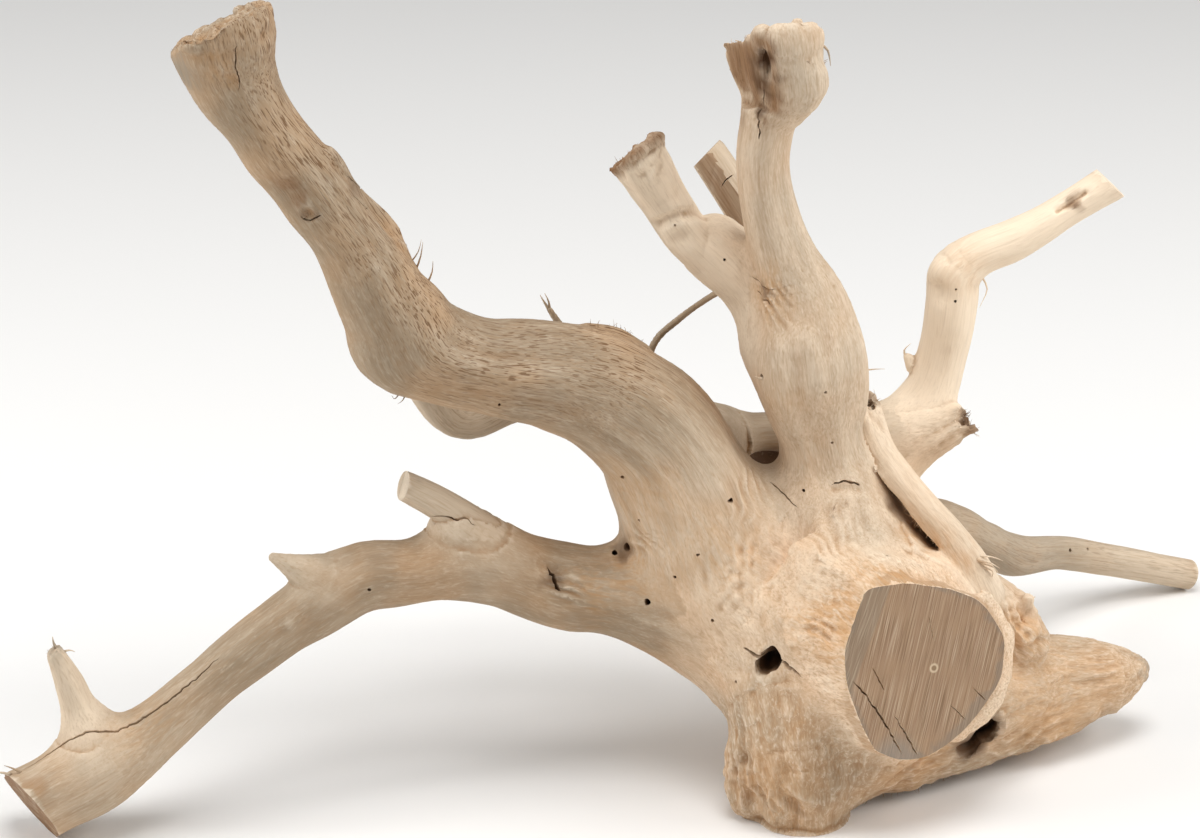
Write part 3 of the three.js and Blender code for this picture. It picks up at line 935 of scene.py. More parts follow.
def crack_blade(path, width, depth, straight=None):
    """The wedge-shaped rings of a crack that wanders along a path on the skin and closes at its ends."""
    spots, looks = [], []
    for point in stepped(path, CRACK_STEP):
        spot, look = on_skin(point)
        look = look if straight is None else straight
        if not spots or np.linalg.norm(spot - spots[-1]) > CRACK_STEP / 2:
            spots.append(spot)
            looks.append(look)
    spots, looks = np.array(spots), np.array(looks)
    for _ in range(BLADE_ROUNDS):
        looks[1:-1] = looks[:-2] + looks[1:-1] + looks[2:]
        looks /= np.linalg.norm(looks, axis=1)[:, None]
    along = np.gradient(spots, axis=0)
    across = np.cross(looks, along)
    across /= np.linalg.norm(across, axis=1)[:, None]
    spots += across * random.normal(0, CRACK_WANDER, len(spots))[:, None] * min(1.0, width)
    t = np.linspace(0, 1, len(spots))
    half = width / 2 * np.sqrt(np.clip(4 * t * (1 - t), CRACK_TIP, 1))
    half *= random.uniform(*CRACK_UNEVEN, len(spots))
    rings = []
    for spot, look, side, wide in zip(spots, looks, across, half):
        above = spot + BLADE_ABOVE * look
        wide_above = wide * (1 + BLADE_ABOVE / depth)
        rings.append((above - wide_above * side, above + wide_above * side, spot - depth * look))
    return rings


def worm_bit(point, radius):
    """The rings of a slightly crooked round bore."""
    spot, look = on_skin(point)
    side = np.cross(look, HOLE_ASKEW)
    side /= np.linalg.norm(side)
    up = np.cross(look, side)
    angles = np.linspace(0, 2 * math.pi, HOLE_SIDES, endpoint=False)
    uneven = radius * random.uniform(*HOLE_UNEVEN, HOLE_SIDES)
    lean = random.normal(0, HOLE_LEAN, 2)
    rings = []
    for deep, share in BORE:
        middle = spot - deep * look + deep * (lean[0] * side + lean[1] * up)
        rings.append([middle + share * wide * (math.cos(angle) * side + math.sin(angle) * up)
                      for angle, wide in zip(angles, uneven)])
    return rings


cut_away([crack_blade(*crack) for crack in CRACKS], "cracks")
on_face = [([SAWN_CENTRE + x * SAWN_ACROSS + y * SAWN_UP for x, y in path], width, depth)
           for path, width, depth in SAWN_CRACKS]
cut_away([crack_blade(*crack, SAWN_NORMAL) for crack in on_face], "sawn_cracks")
cut_away([worm_bit(*hole) for hole in WORM_HOLES], "worm_holes")

# Edges that turn by more than this stay sharp.
SHARP = math.radians(38)
wood.data.polygons.foreach_set("use_smooth", np.ones(len(wood.data.polygons), bool))
wood.data.set_sharp_from_angle(angle=SHARP)
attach(wood, "root")
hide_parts("driftwood")

# Splinters. Where limbs broke off or bark was torn away, loose fibres, thorns and hair roots still stand
# out. Each is a thin tapered strand of the same wood, rooted a little way inside it.
STRANDS = [
    ([(-90, -75, 231), (-88, -76, 236), (-87, -77, 243)], 0.5),
    ([(-89, -75, 236), (-86, -75, 240), (-85, -75, 245)], 0.35),
    ([(-87, -78, 226), (-85, -77, 230), (-85, -76, 234)], 0.5),
    ([(88, -46, 176), (92, -46, 176.5), (96, -46, 176.5)], 0.4),
    ([(139, 12, 196), (142, 10, 192), (138, 8, 184)], 0.5),
    ([(107, 9, 161), (106, 8.5, 164), (109, 8, 167)], 0.6),
    ([(-42, -7, 186), (-44, -8, 190), (-46, -9, 194)], 0.9),
    ([(-41, -7, 187), (-41, -8, 191), (-43, -8, 195)], 0.7),
    ([(136, -66, 101), (141, -68, 101), (146, -66, 97)], 0.8),
    ([(137, -66, 100), (144, -67, 98), (146, -65, 94)], 0.7),
    ([(138, -65, 98), (144, -65, 95), (143, -64, 92)], 0.7),
    ([(137, -64, 102), (143, -62, 101), (148, -60, 98)], 0.6),
    ([(-256, -121, 31), (-260, -122, 33), (-263, -122, 33)], 0.9),
    ([(-252, -122, 33), (-256, -123, 36), (-259, -123, 37)], 0.7),
    ([(-234, -114, 82), (-231, -114, 83), (-229, -114, 82)], 0.6),
    ([(-236, -114, 83), (-237, -115, 87), (-237, -115, 89)], 0.9),
    ([(-100, -86, 178), (-102, -88, 176), (-103, -88, 178)], 0.35),
    ([(-98, -88, 177), (-99, -90, 175), (-101, -90, 174)], 0.35),
    ([(66, -58, 316), (69, -59, 315), (70, -60, 308)], 0.7),
    ([(44, -62, 178), (42, -62, 178), (40, -62, 179)], 0.9),
]
# Fringes of broken fibres: the limb whose end is torn, how many, and their length and spread in millimetres.
FRINGES = {"fork_top": (150, 1.7, 0.9), "centre": (60, 1.7, 0.8), "right_snag": (44, 2.4, 0.7),
           "strap": (30, 1.8, 0.8), "upper_left": (36, 1.0, 0.7), "horn": (14, 1.2, 0.6),
           "nub": (8, 1.0, 0.6), "lobe": (26, 1.2, 0.8)}
# Torn edges with short fuzz: a path along the edge, how many fibres, their length and their lean.
FUZZ = [([(84, -88, 4), (98, -84, 4), (112, -79, 5), (126, -70, 5)], 46, 3.4, (0.2, -0.6, -0.4)),
        ([(95, -52, 133), (104, -60, 121), (112, -64, 112), (120, -66, 103)], 40, 2.4, (0.4, -0.5, 0.3)),
        ([(-112, -96, 265), (-103, -88, 252), (-96, -78, 240)], 12, 1.8, (0.8, -0.1, 0.4)),
        ([(-26, -55, 197), (-14, -50, 195), (-4, -48, 189)], 18, 2.0, (0.1, -0.2, 1.0)),
        ([(143, -55, 74), (150, -56, 70), (156, -55, 64)], 18, 2.0, (0.6, -0.5, 0.7)),
        ([(68, -80, 133), (75, -78, 134), (83, -74, 133)], 26, 2.2, (0.0, -0.6, -0.6))]
STRAND_SIDES = 5
STRAND_RINGS = 5
STRAND_TAPER = 0.85
STRAND_TWIST = 0.4
STRAND_ASKEW = (0.36, 0.48, 0.8)
# How deep a strand and a fibre are rooted in the wood, in millimetres.
STRAND_ROOT = 0.8
FIBRE_ROOT = 1.2
# How much a loose fibre curls and varies in length, and the range of thickness of each kind.
FIBRE_CURL = 0.35
FIBRE_LENGTHS = (0.4, 1.1)
FRINGE_THICK = (0.13, 0.3)
FUZZ_THICK = (0.11, 0.24)
# Fringes stand on the outer part of a torn end, between these shares of its area. They lean by shares of
# the way the skin looks, the way the end looks, outward and at random.
FRINGE_AREA = (0.35, 1.0)
FRINGE_LEAN = (0.7, 0.5, 0.4, 0.3)
# Fuzz strays from its edge by this many millimetres, and leans by shares of the given way and at random.
FUZZ_STRAY = 0.8
FUZZ_LEAN = (0.8, 0.4)
strands = Shell()


def add_strand(path, thick):
    """A tapered strand along a bent path."""
    path = stepped(path, np.linalg.norm(np.subtract(path[-1], path[0])) / (STRAND_RINGS - 1))
    path[1:-1] = (path[:-2] + 2 * path[1:-1] + path[2:]) / 4
    along = np.gradient(path, axis=0)
    along /= np.linalg.norm(along, axis=1)[:, None]
    side = np.cross(along, STRAND_ASKEW)
    side /= np.linalg.norm(side, axis=1)[:, None]
    up = np.cross(along, side)
    rings = []
    for i, point in enumerate(path):
        radius = thick * (1 - STRAND_TAPER * i / (len(path) - 1))
        angles = np.linspace(0, 2 * math.pi, STRAND_SIDES, endpoint=False) + STRAND_TWIST * i
        rings.append([point + radius * (math.cos(a) * side[i] + math.sin(a) * up[i]) for a in angles])
    strands.add(rings)


def loose_fibre(root, lean, length, thick):
    """A short curling fibre that starts inside the wood and leans the given way."""
    lean = lean / np.linalg.norm(lean)
    bend = random.normal(0, FIBRE_CURL, 3)
    path = np.array([root - FIBRE_ROOT * lean, root + 0.5 * length * lean, root + length * (lean + bend)])
    path[:, 2] = np.maximum(path[:, 2], 2 * thick)
    add_strand(path, thick)


for path, thick in STRANDS:
    root, face = on_skin(path[0])
    add_strand(np.array(path) + root - STRAND_ROOT * face - path[0], thick)
for name, (count, length, spread) in FRINGES.items():
    limb = next(limb for limb in limbs if limb.name == name)
    look = np.array(BREAKS[name][0][1]) / np.linalg.norm(BREAKS[name][0][1])
    side = np.cross(look, CUT_ASKEW)
    side /= np.linalg.norm(side)
    up = np.cross(look, side)
    by_skin, by_end, by_spread, by_chance = FRINGE_LEAN
    for angle in random.uniform(0, 2 * math.pi, count):
        out = math.cos(angle) * side + math.sin(angle) * up
        share = math.sqrt(random.uniform(*FRINGE_AREA))
        root, face = on_skin(limb.heart[-1] + share * limb.radius[-1] * out)
        lean = by_skin * face + by_end * look + spread * by_spread * out + random.normal(0, by_chance, 3)
        loose_fibre(root, lean, length * random.uniform(*FIBRE_LENGTHS), random.uniform(*FRINGE_THICK))
for path, count, length, lean in FUZZ:
    route = stepped(path, 1.0)
    for spot in random.integers(0, len(route), count):
        root, face = on_skin(route[spot] + random.normal(0, FUZZ_STRAY, 3))
        away = face + FUZZ_LEAN[0] * np.array(lean) + random.normal(0, FUZZ_LEAN[1], 3)
        loose_fibre(root, away, length * random.uniform(*FIBRE_LENGTHS), random.uniform(*FUZZ_THICK))
splinters = strands.object("driftwood_splinters")
splinters.data.polygons.foreach_set("use_smooth", np.ones(len(splinters.data.polygons), bool))
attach(splinters, "root")

# The finish. Bark-free root wood, bleached by sun and sand: matte cream to tan with silky fibre, short
# brown pores along the thick limbs, ochre where resin stayed, grey where it was cut and dark brown in every
# hollow, deepening into painted shade. Painted shade also darkens the folds, the foot and low roots and a
# patch behind the crown, and a painted highlight pales the ridges. Each mesh carries where its fibres run,
# how stained it is and where shade is painted.
# How many pores each limb shows. They face one way, which dried in the sun, and fade out towards the crown.
PORES = {"upper_left": 1.0, "lower_left": 0.12, "rear_knee": 0.6, "rear_leg": 0.3, "crown": 0.1,
         "under_root": 0.2, "rear_log": 0.3}
PORE_SIDE = np.array([0.72, -0.2, 0.66])
PORE_EVEN = 0.45
PORE_BY_SIDE = 0.75
PORE_LEAST = 0.08
PORE_FREE = np.array([60, -60, 80])
PORE_START = 70
PORE_FADE = 60
# How much darker and greyer than the palest wood each limb is: mostly its own tone, but on the foot, the
# buttress and the root under the crown also painted shade low down.
TONE_AND_LOW_SHADE = {"upper_left": 1.06, "lower_left": 1.08, "rear_leg": 0.74, "rear_knee": 0.65, "crown": 0.05,
        "trunk": 0.14, "foot": 0.88, "web": 0.78, "centre": 0.5, "fork": 0.2, "fork_top": 0.1, "right": -0.1,
        "strap": 0.15, "right_snag": 0.3, "rear_log": 0.7, "peg": 0.5, "peg_root": 0.6, "buttress": 0.62,
        "under_root": 0.95, "back_peg": 0.6, "burr": 0.6, "tendril": 0.9, "rear_twig": 0.9, "horn": 0.6,
        "thorn": 0.6}
# Places paler or darker than the rest of their limb: middle, reach in millimetres and change of tone.
# The darker place low in front, under the sawn face, is painted shade.
TONED_AND_SHADED = [((12, -74, 122), 62, -0.62), ((-222, -112, 40), 80, -0.34), ((232, 112, 16), 60, -0.3),
         ((84, -110, 34), 44, 0.22)]
# The heart of the piece is warmer and finely flecked.
WARM = {"crown": 1.0, "trunk": 1.0, "foot": 0.9, "web": 0.9, "burr": 1.0, "buttress": 0.9, "under_root": 0.9,
        "centre": 0.5, "fork": 0.3, "right_snag": 0.5, "strap": 0.4, "upper_left": 0.25, "lower_left": 0.3,
        "peg_root": 0.3}
# Stains: middle and reach in millimetres, strength.
OCHRE = [((70, -120, 96), 30, 0.9), ((92, -108, 116), 27, 0.7), ((48, -56, 213), 14, 0.6),
         ((-160, -116, 331), 13, 0.6), ((110, -60, 112), 14, 0.8), ((120, -62, 100), 12, 0.9),
         ((36, -86, 104), 22, 0.5), ((165, -60, 30), 46, 0.55), ((115, -95, 30), 30, 0.6),
         ((150, -60, 62), 26, 0.7), ((-8, -72, 98), 13, 0.6), ((50, -97, 62), 16, 0.45),
         ((70, -75, 140), 18, 0.4), ((132, 4, 206), 15, 0.4), ((-200, -112, 50), 20, 0.35),
         ((50, -114, 18), 30, 0.5), ((-20, -76, 92), 14, 0.5), ((140, -10, 128), 16, 0.4),
         ((195, -34, 30), 22, 0.4), ((56, -60, 172), 14, 0.3), ((10, -78, 116), 46, 0.36),
         ((44, -92, 104), 30, 0.4)]
GREY = [((-178, -112, 323), 12, 0.9), ((213, -24, 30), 9, 0.7), ((-102, -88, 180), 9, 0.7),
        ((-237, -115, 84), 7, 0.7), ((134, -8, 139), 9, 0.4), ((67, -58, 312), 8, 0.6),
        ((-99, -76, 140), 6, 0.5), ((168, 75, 34), 60, 0.3)]
SCAR = [((-138, -111, 276), 8, 0.75), ((-136, -110, 268), 7, 0.75), ((136, -8, 139), 9, 0.9),
        ((177, 18, 227), 5.5, 0.8)]
# Dark brown stains in hollows and splits, and one patch of painted shade on the roots behind the crown top.
DARK_STAINS_AND_SHADE = [((45, -68, 314), 9, 1.0), ((43, -67, 302), 7, 0.9), ((42, -65, 291), 4, 0.7),
        ((-6, -38, 269), 8, 0.3), ((135, -8, 139), 6, 0.7), ((90, -26, 155), 7, 0.6),
        ((-131, -110, 263), 5, 0.8), ((-39, -76, 97), 6, 0.6), ((176, 17, 226), 3.6, 0.8),
        ((50, 8, 116), 22, 0.9), ((136, -80, 26), 13, 1.0), ((49, -92, 67), 9, 0.6),
        ((46, -54, 213), 5, 0.6), ((76, -73, 135), 5, 0.5), ((-118, -92, 268), 8, 0.4),
        ((-10, -64, 104), 7, 0.6), ((209, -24, 22), 4, 0.8), ((-149, -110, 338), 7, 0.5)]
# A stain's edge is uneven by a share of its reach, in lumps of another share of it, and this steep.
STAIN_EDGE = 0.6
STAIN_LUMP = 0.5
STAIN_STEEP = 1.6
STAIN_NEAR = 1.5
# Bare inner wood on torn, split and flat ends: a point, the way it looks, its reach and its strength.
TORN = [((37, -62, 308), (-0.71, -0.66, -0.22), 36, 1.0)]
BARE = [(*SPLIT_FACE[:2], 30, 0.7), (*FLAT_ENDS[0][:2], 40, 1.0), (*FLAT_ENDS[2][:2], 16, 0.5),
        (*FLAT_ENDS[4][:2], 16, 0.3)]
TORN_BLUR = 3
BARE_DEPTH = 2.6
BARE_FACING = 0.8
# Dried lips are brown down to this many millimetres under the break.
LIP_STAIN = 4.5
LIP_NEAR = 1.7
# Cracks and worm holes are dark from this many millimetres down: brown inner wood near the mouth,
# then near-black painted shade deeper in.
CRACK_DARK_AND_SHADE = 7
# Hollows darken from their rim inward and from a little below the skin, both in millimetres: brown
# rotted wood near the rim that deepens into painted shade.
ROT_RIM = 1.6
ROT_STEEP = 4
ROT_FROM = 1.4
ROT_DARK_AND_SHADE = 6
ROT_MOST = 9
ROT_BAND = 12
# How far the surface is evened out to tell ridges from folds.
RELIEF_ROUNDS = 5


def stained(p, places):
    """How strongly a patch shows at each point, with an uneven edge: a stain, and in one place painted shade.
    """
    total = np.zeros(len(p))
    for middle, reach, strength in places:
        here = np.flatnonzero(np.linalg.norm(p - np.array(middle, float), axis=1) < STAIN_NEAR * reach)
        uneven = 1 + STAIN_EDGE * lattice_noise(p[here] / (STAIN_LUMP * reach), SEEDS["stain"])
        away = np.linalg.norm(p[here] - np.array(middle, float), axis=1) / (reach * uneven)
        total[here] = np.maximum(total[here], strength * np.clip(STAIN_STEEP * (1 - away), 0, 1))
    return total


def mark(mesh, name, kind, domain, values):
    """Stores values on a mesh for its material to read."""
    store = mesh.attributes.new(name, kind, domain)
    field = {"FLOAT": "value", "FLOAT_VECTOR": "vector", "FLOAT_COLOR": "color"}[kind]
    store.data.foreach_set(field, np.ascontiguousarray(values, np.float32).ravel())


def read_all(items, name, kind, width=1):
    """All values of one kind from a mesh's points, corners or faces, a row to each."""
    values = np.empty(len(items) * width, kind)
    items.foreach_get(name, values)
    return values.reshape(-1, width) if width > 1 else values


def blurred(values, edges, rounds):
    """Values at a mesh's points, evened out along its edges."""
    count = np.bincount(edges.ravel(), minlength=len(values))
    for _ in range(rounds):
        total = np.bincount(edges[:, 0], values[edges[:, 1]], len(values))
        total += np.bincount(edges[:, 1], values[edges[:, 0]], len(values))
        values = 0.5 * values + 0.5 * total / count
    return values


# Ridges and folds of the skin, from before it cracked, told apart by evening it out. The folds get
# painted shade and the ridges a painted highlight.
skin_points = mesh_points(whole_skin)
edges = read_all(whole_skin.edges, "vertices", np.int32, 2)
evened = np.stack([blurred(skin_points[:, axis], edges, RELIEF_ROUNDS) for axis in range(3)], axis=1)
skin_relief_shade = ((skin_points - evened) * read_all(whole_skin.vertices, "normal", np.float32, 3)).sum(axis=1)
skin_relief_shade -= blurred(skin_relief_shade, edges, 3 * RELIEF_ROUNDS)
skin_tree = KDTree(len(skin_points))
for number, point in enumerate(skin_points):
    skin_tree.insert(point, number)
skin_tree.balance()
bpy.data.meshes.remove(whole_skin)


def bare_faces(middle, facing, places):
    """How much inner wood shows on each face, from its middle and the way it looks."""
    bare = np.zeros(len(middle))
    for point, out, reach, strength in places:
        out = np.array(out) / np.linalg.norm(out)
        on_face = (np.abs((middle - point) @ out) < BARE_DEPTH) & (facing @ out > BARE_FACING)
        on_face &= np.linalg.norm(middle - point, axis=1) < reach
        bare = np.maximum(bare, strength * on_face)
    return bare


def mark_wood(mesh, was_cut):
    """Works out and stores a mesh's fibres, tone, pores, curl, warmth, relief, stains and depth of cuts,
    with painted shade in the tone, relief, stains and cuts and a painted highlight in the relief.
    """
    p = mesh_points(mesh)
    corner = read_all(mesh.loops, "vertex_index", np.int32)
    starts = read_all(mesh.polygons, "loop_start", np.int32)
    sizes = read_all(mesh.polygons, "loop_total", np.int32)
    middle = np.add.reduceat(p[corner], starts, axis=0) / sizes[:, None]
    of_face, _ = grain_of(middle)
    for name, number in (("fibre_a", 0), ("fibre_b", 1)):
        grain, _ = grain_places(p[corner], np.repeat(of_face[number], sizes))
        mark(mesh, name, "FLOAT_VECTOR", "CORNER", grain)
    which, lead = grain_of(p)
    same = np.repeat(of_face[0], sizes) == which[0][corner]
    facing = read_all(mesh.polygons, "normal", np.float32, 3)
    bare, torn = [np.repeat(bare_faces(middle, facing, places), sizes) for places in (BARE, TORN)]
    torn = np.bincount(corner, torn, len(p)) / np.bincount(corner, minlength=len(p))
    torn = blurred(torn, read_all(mesh.edges, "vertices", np.int32, 2), TORN_BLUR)
    mark(mesh, "bare", "FLOAT", "CORNER", np.maximum(bare, torn[corner]))
    mark(mesh, "lead", "FLOAT", "CORNER", np.where(same, lead[corner], 1 - lead[corner]))
    shown = []
    for table in (TONE_AND_LOW_SHADE, PORES, CURLY, WARM):
        value = np.array([table.get(limb.name, 0.0) for limb in grain_limbs])
        shown.append(lead * value[which[0]] + (1 - lead) * value[which[1]])
    tone_and_shade, pore, curl, warm = shown
    for spot, reach, change in TONED_AND_SHADED:
        tone_and_shade += change * fade(p, spot, reach)
    mark(mesh, "warm", "FLOAT", "POINT", warm)
    look = read_all(mesh.vertices, "normal", np.float32, 3)
    pore *= np.clip(PORE_EVEN + PORE_BY_SIDE * (look @ PORE_SIDE), PORE_LEAST, 1)
    pore *= np.clip((np.linalg.norm(p - PORE_FREE, axis=1) - PORE_START) / PORE_FADE, 0, 1)
    # How far each point stands out as a ridge or sinks into a fold, for painted shade and highlight.
    mark(mesh, "relief_shade", "FLOAT", "POINT", [skin_relief_shade[skin_tree.find(point)[1]] for point in p])
    # Depth in cracks, worm holes and hollows, which darkens them: brown near the mouth, painted shade deeper
    # in.
    cut = np.zeros(len(p))
    if was_cut:
        cut = np.array([skin.find_nearest(Vector(point) * MM)[3] for point in p]) / MM
        rotten = np.maximum(hollow_wood(p) + ROT_RIM, 0) * ROT_STEEP
        buried = np.clip(-whole_wood(p, ROT_BAND) - ROT_FROM, 0, ROT_MOST)
        cut = np.clip(np.maximum(cut / CRACK_DARK_AND_SHADE, np.minimum(rotten, buried) / ROT_DARK_AND_SHADE), 0, 1)
    # Tone, with painted shade low down, and depth of cuts, darkened into painted shade, go with pores and
    # curl.
    mark(mesh, "nature_and_shade", "FLOAT_COLOR", "POINT", np.stack([tone_and_shade, pore, curl, cut], axis=1))
    # Stains, and among the dark ones a patch of painted shade behind the crown.
    stains_and_shade = [stained(p, places) for places in (OCHRE, GREY, DARK_STAINS_AND_SHADE, SCAR)]
    for limb in (limb for limb in limbs if limb.name in LIPS):
        off = p - limb.heart[-1]
        under = off @ np.array(BREAKS[limb.name][0][1]) / LIP_STAIN
        at_end = np.linalg.norm(off, axis=1) < LIP_NEAR * limb.radius[-1]
        stains_and_shade[3] = np.maximum(stains_and_shade[3], at_end * np.clip(1 + under, 0, 1))
    mark(mesh, "stains_and_shade", "FLOAT_COLOR", "POINT", np.stack(stains_and_shade, axis=1))


mark_wood(wood.data, True)
mark_wood(splinters.data, False)


def linear(code):
    """A colour given as sRGB hex, as the linear values that a shader takes."""
    parts = [int(code[i:i + 2], 16) / 255 for i in (1, 3, 5)]
    return [c / 12.92 if c <= 0.04045 else ((c + 0.055) / 1.055) ** 2.4 for c in parts] + [1.0]


def node(tree, kind, output, inputs=None, **settings):
    """Adds a node with its settings, links or sets its inputs, and gives one of its outputs."""
    made = tree.nodes.new("ShaderNode" + kind)
    for name, value in settings.items():
        setattr(made, name, value)
    for slot, value in (inputs or {}).items():
        if isinstance(value, bpy.types.NodeSocket):
            tree.links.new(value, made.inputs[slot])
        else:
            made.inputs[slot].default_value = value
    return made.outputs[output]


def lay_colours(tree, colour, layers):
    """Lays colours over one another, each by a pattern, the two values between which it sets in, its greatest
    share and what limits it to its places."""
    for code, pattern, start, full, most, places in layers:
        share = node(tree, "MapRange", 0, {"Value": pattern, "From Min": start, "From Max": full,
                                           "To Max": most})
        share = node(tree, "Math", 0, {0: share, 1: places}, operation="MULTIPLY")
        colour = node(tree, "Mix", 2, {0: share, 6: colour, 7: linear(code)}, data_type="RGBA")
    return colour


bleached = bpy.data.materials.new("bleached_root_wood")
bleached.use_nodes = True
tree = bleached.node_tree
surface = tree.nodes["Principled BSDF"]
fibres = [node(tree, "Attribute", "Vector", attribute_name=name) for name in ("fibre_b", "fibre_a")]
lead = node(tree, "Attribute", "Fac", attribute_name="lead")
nature_and_shade = node(tree, "Attribute", "Color", attribute_name="nature_and_shade")
stains_and_shade = node(tree, "Attribute", "Color", attribute_name="stains_and_shade")
# Depth in cracks, worm holes and hollows, for their brown and their painted shade.
cut = nature_and_shade.node.outputs["Alpha"]
bare = node(tree, "Attribute", "Fac", attribute_name="bare")
# Ridges and folds: painted shade in the folds, a painted highlight on the ridges.
relief_shade = node(tree, "Attribute", "Fac", attribute_name="relief_shade")
warm = node(tree, "Attribute", "Fac", attribute_name="warm")
scar = node(tree, "Math", 0, {0: stains_and_shade.node.outputs["Alpha"], 1: bare}, operation="MAXIMUM")
tone_and_shade, pore, curl = node(tree, "SeparateColor", 0, {0: nature_and_shade}).node.outputs
# Ochre, grey and dark stains; the dark ones also hold a patch of painted shade.
ochre, grey, dark = node(tree, "SeparateColor", 0, {0: stains_and_shade}).node.outputs

# Patterns that run with the fibres: length, width, detail and how crooked, in millimetres. The silky fibre
# is drawn 0.7 mm wide, coarser than the real 0.1 mm, so that it shows.
PATTERNS = {"streak": (80, 6, 2, 0.3), "fibre": (22, 0.7, 3, 0.3), "curl": (16, 4.0, 3, 1.6),
            "pore": (6.5, 0.62, 1, 0.0), "mottle": (10, 1.6, 3, 0.6), "fleck": (4.0, 0.9, 2, 0.6)}
pattern = {}
for name, (length, width, detail, crooked) in PATTERNS.items():
    drawn = []
    for fibre in fibres:
        scale = {0: fibre, 1: (1 / length, 1 / width, 1 / width)}
        spot = node(tree, "VectorMath", 0, scale, operation="MULTIPLY")
        drawn.append(node(tree, "TexNoise", 0, {"Vector": spot, "Scale": 1, "Detail": detail,
                                                "Distortion": crooked}))
    pattern[name] = node(tree, "Mix", 0, {0: lead, 2: drawn[0], 3: drawn[1]})
# Patches with no direction: their size in millimetres.
PATCH = 32
place = node(tree, "TexCoord", "Object")
pattern["patch"] = node(tree, "TexNoise", 0, {"Vector": place, "Scale": 1 / (PATCH * MM), "Detail": 2})

# The pores stand in groups.
grouped = node(tree, "MapRange", 0, {"Value": pattern["patch"], "From Min": 0.38, "From Max": 0.54,
                                     "To Min": 0.5})
pore = node(tree, "Math", 0, {0: pore, 1: grouped}, operation="MULTIPLY")
# Pale limbs are the smoothest, with the least fibre.
grained = node(tree, "MapRange", 0, {"Value": tone_and_shade, "From Min": -0.1, "From Max": 0.4, "To Min": 0.45})
# Long streaks over the tone, which on the low parts is painted shade.
streaked_tone_and_shade = node(tree, "Math", 0, {0: pattern["streak"], 1: 0.7, 2: tone_and_shade}, operation="MULTIPLY_ADD")
# From the palest wood up: colour, pattern, where it sets in and is full, its greatest share, and its places.
LAYERS = [
    # The tone, with painted shade on the low parts.
    ("#99866E", streaked_tone_and_shade, 0.30, 1.45, 1.0, 1.0),
    ("#CBA37A", pattern["patch"], 0.46, 0.68, 0.32, tone_and_shade),
    ("#E0B184", pattern["patch"], 0.28, 0.62, 0.42, warm),
    ("#F6E6D0", pattern["mottle"], 0.52, 0.74, 0.16, 1.0),
    ("#9F7B52", pattern["fibre"], 0.50, 0.74, 0.38, grained),
    ("#F4E2C8", pattern["curl"], 0.52, 0.70, 0.3, curl),
    ("#BC8F5C", pattern["curl"], 0.46, 0.30, 0.3, curl),
    ("#9E7448", pattern["fleck"], 0.50, 0.70, 0.42, warm),
    ("#FBEEDB", pattern["fleck"], 0.46, 0.30, 0.36, warm),
    # Folds darker as painted shade, ridges paler as a painted highlight.
    ("#9C7144", relief_shade, -0.04, -0.40, 0.5, 1.0),
    ("#F7E9D4", relief_shade, 0.06, 0.45, 0.3, 1.0),
    ("#C38A45", pattern["curl"], 0.36, 0.60, 0.6, ochre),
    ("#8D8272", pattern["mottle"], 0.30, 0.60, 0.90, grey),
    ("#8E6B4A", pattern["streak"], 0.0, 0.55, 1.0, scar),
    ("#6A4829", pattern["fibre"], 0.50, 0.72, 0.6, scar),
    # Dark brown stains, and painted shade on the roots behind the crown top.
    ("#553619", pattern["mottle"], 0.05, 0.40, 1.0, dark),
    ("#6B4A2A", pattern["pore"], 0.545, 0.64, 0.85, pore),
    # Cracks, worm holes and hollows: brown inner wood near the mouth, then near-black painted shade deeper
    # in.
    ("#6B4A2D", cut, 0.04, 0.30, 0.9, 1.0),
    ("#1E120A", cut, 0.35, 0.90, 1.0, 1.0),
]
colour = lay_colours(tree, linear("#F3DFC5"), LAYERS)
tree.links.new(colour, surface.inputs["Base Color"])
surface.inputs["Roughness"].default_value = 0.72
surface.inputs["IOR"].default_value = 1.5
surface.inputs["Specular IOR Level"].default_value = 0.35
# Relief of the fibre, the curled figure and the pores, each with its share of the greatest depth.
RELIEF_DEPTH = 0.9 * MM
height = 0.0
for name, share, places in (("fibre", 0.40, grained), ("mottle", 0.40, 1.0), ("curl", 0.8, curl),
                            ("fleck", -0.4, warm), ("pore", -0.7, pore)):
    part = node(tree, "Math", 0, {0: pattern[name], 1: share}, operation="MULTIPLY")
    height = node(tree, "Math", 0, {0: part, 1: places, 2: height}, operation="MULTIPLY_ADD")
bump = node(tree, "Bump", 0, {"Height": height, "Strength": 0.7, "Distance": RELIEF_DEPTH})
tree.links.new(bump, surface.inputs["Normal"])
wood.data.materials.clear()
wood.data.materials.append(bleached)
splinters.data.materials.append(bleached)

# The sawn face is end grain: taupe, scratched wherever a saw tooth passed, with a greyer weathered rim and
# a pale pith. The pith and the most worn spot of the rim lie here, in millimetres across and up the face.
PITH = 2.3 * SAWN_ACROSS + 1.8 * SAWN_UP
WORN = -18 * SAWN_ACROSS - 34 * SAWN_UP
# The weathered rim's edge is uneven by this many millimetres.
RIM_UNEVEN = 9
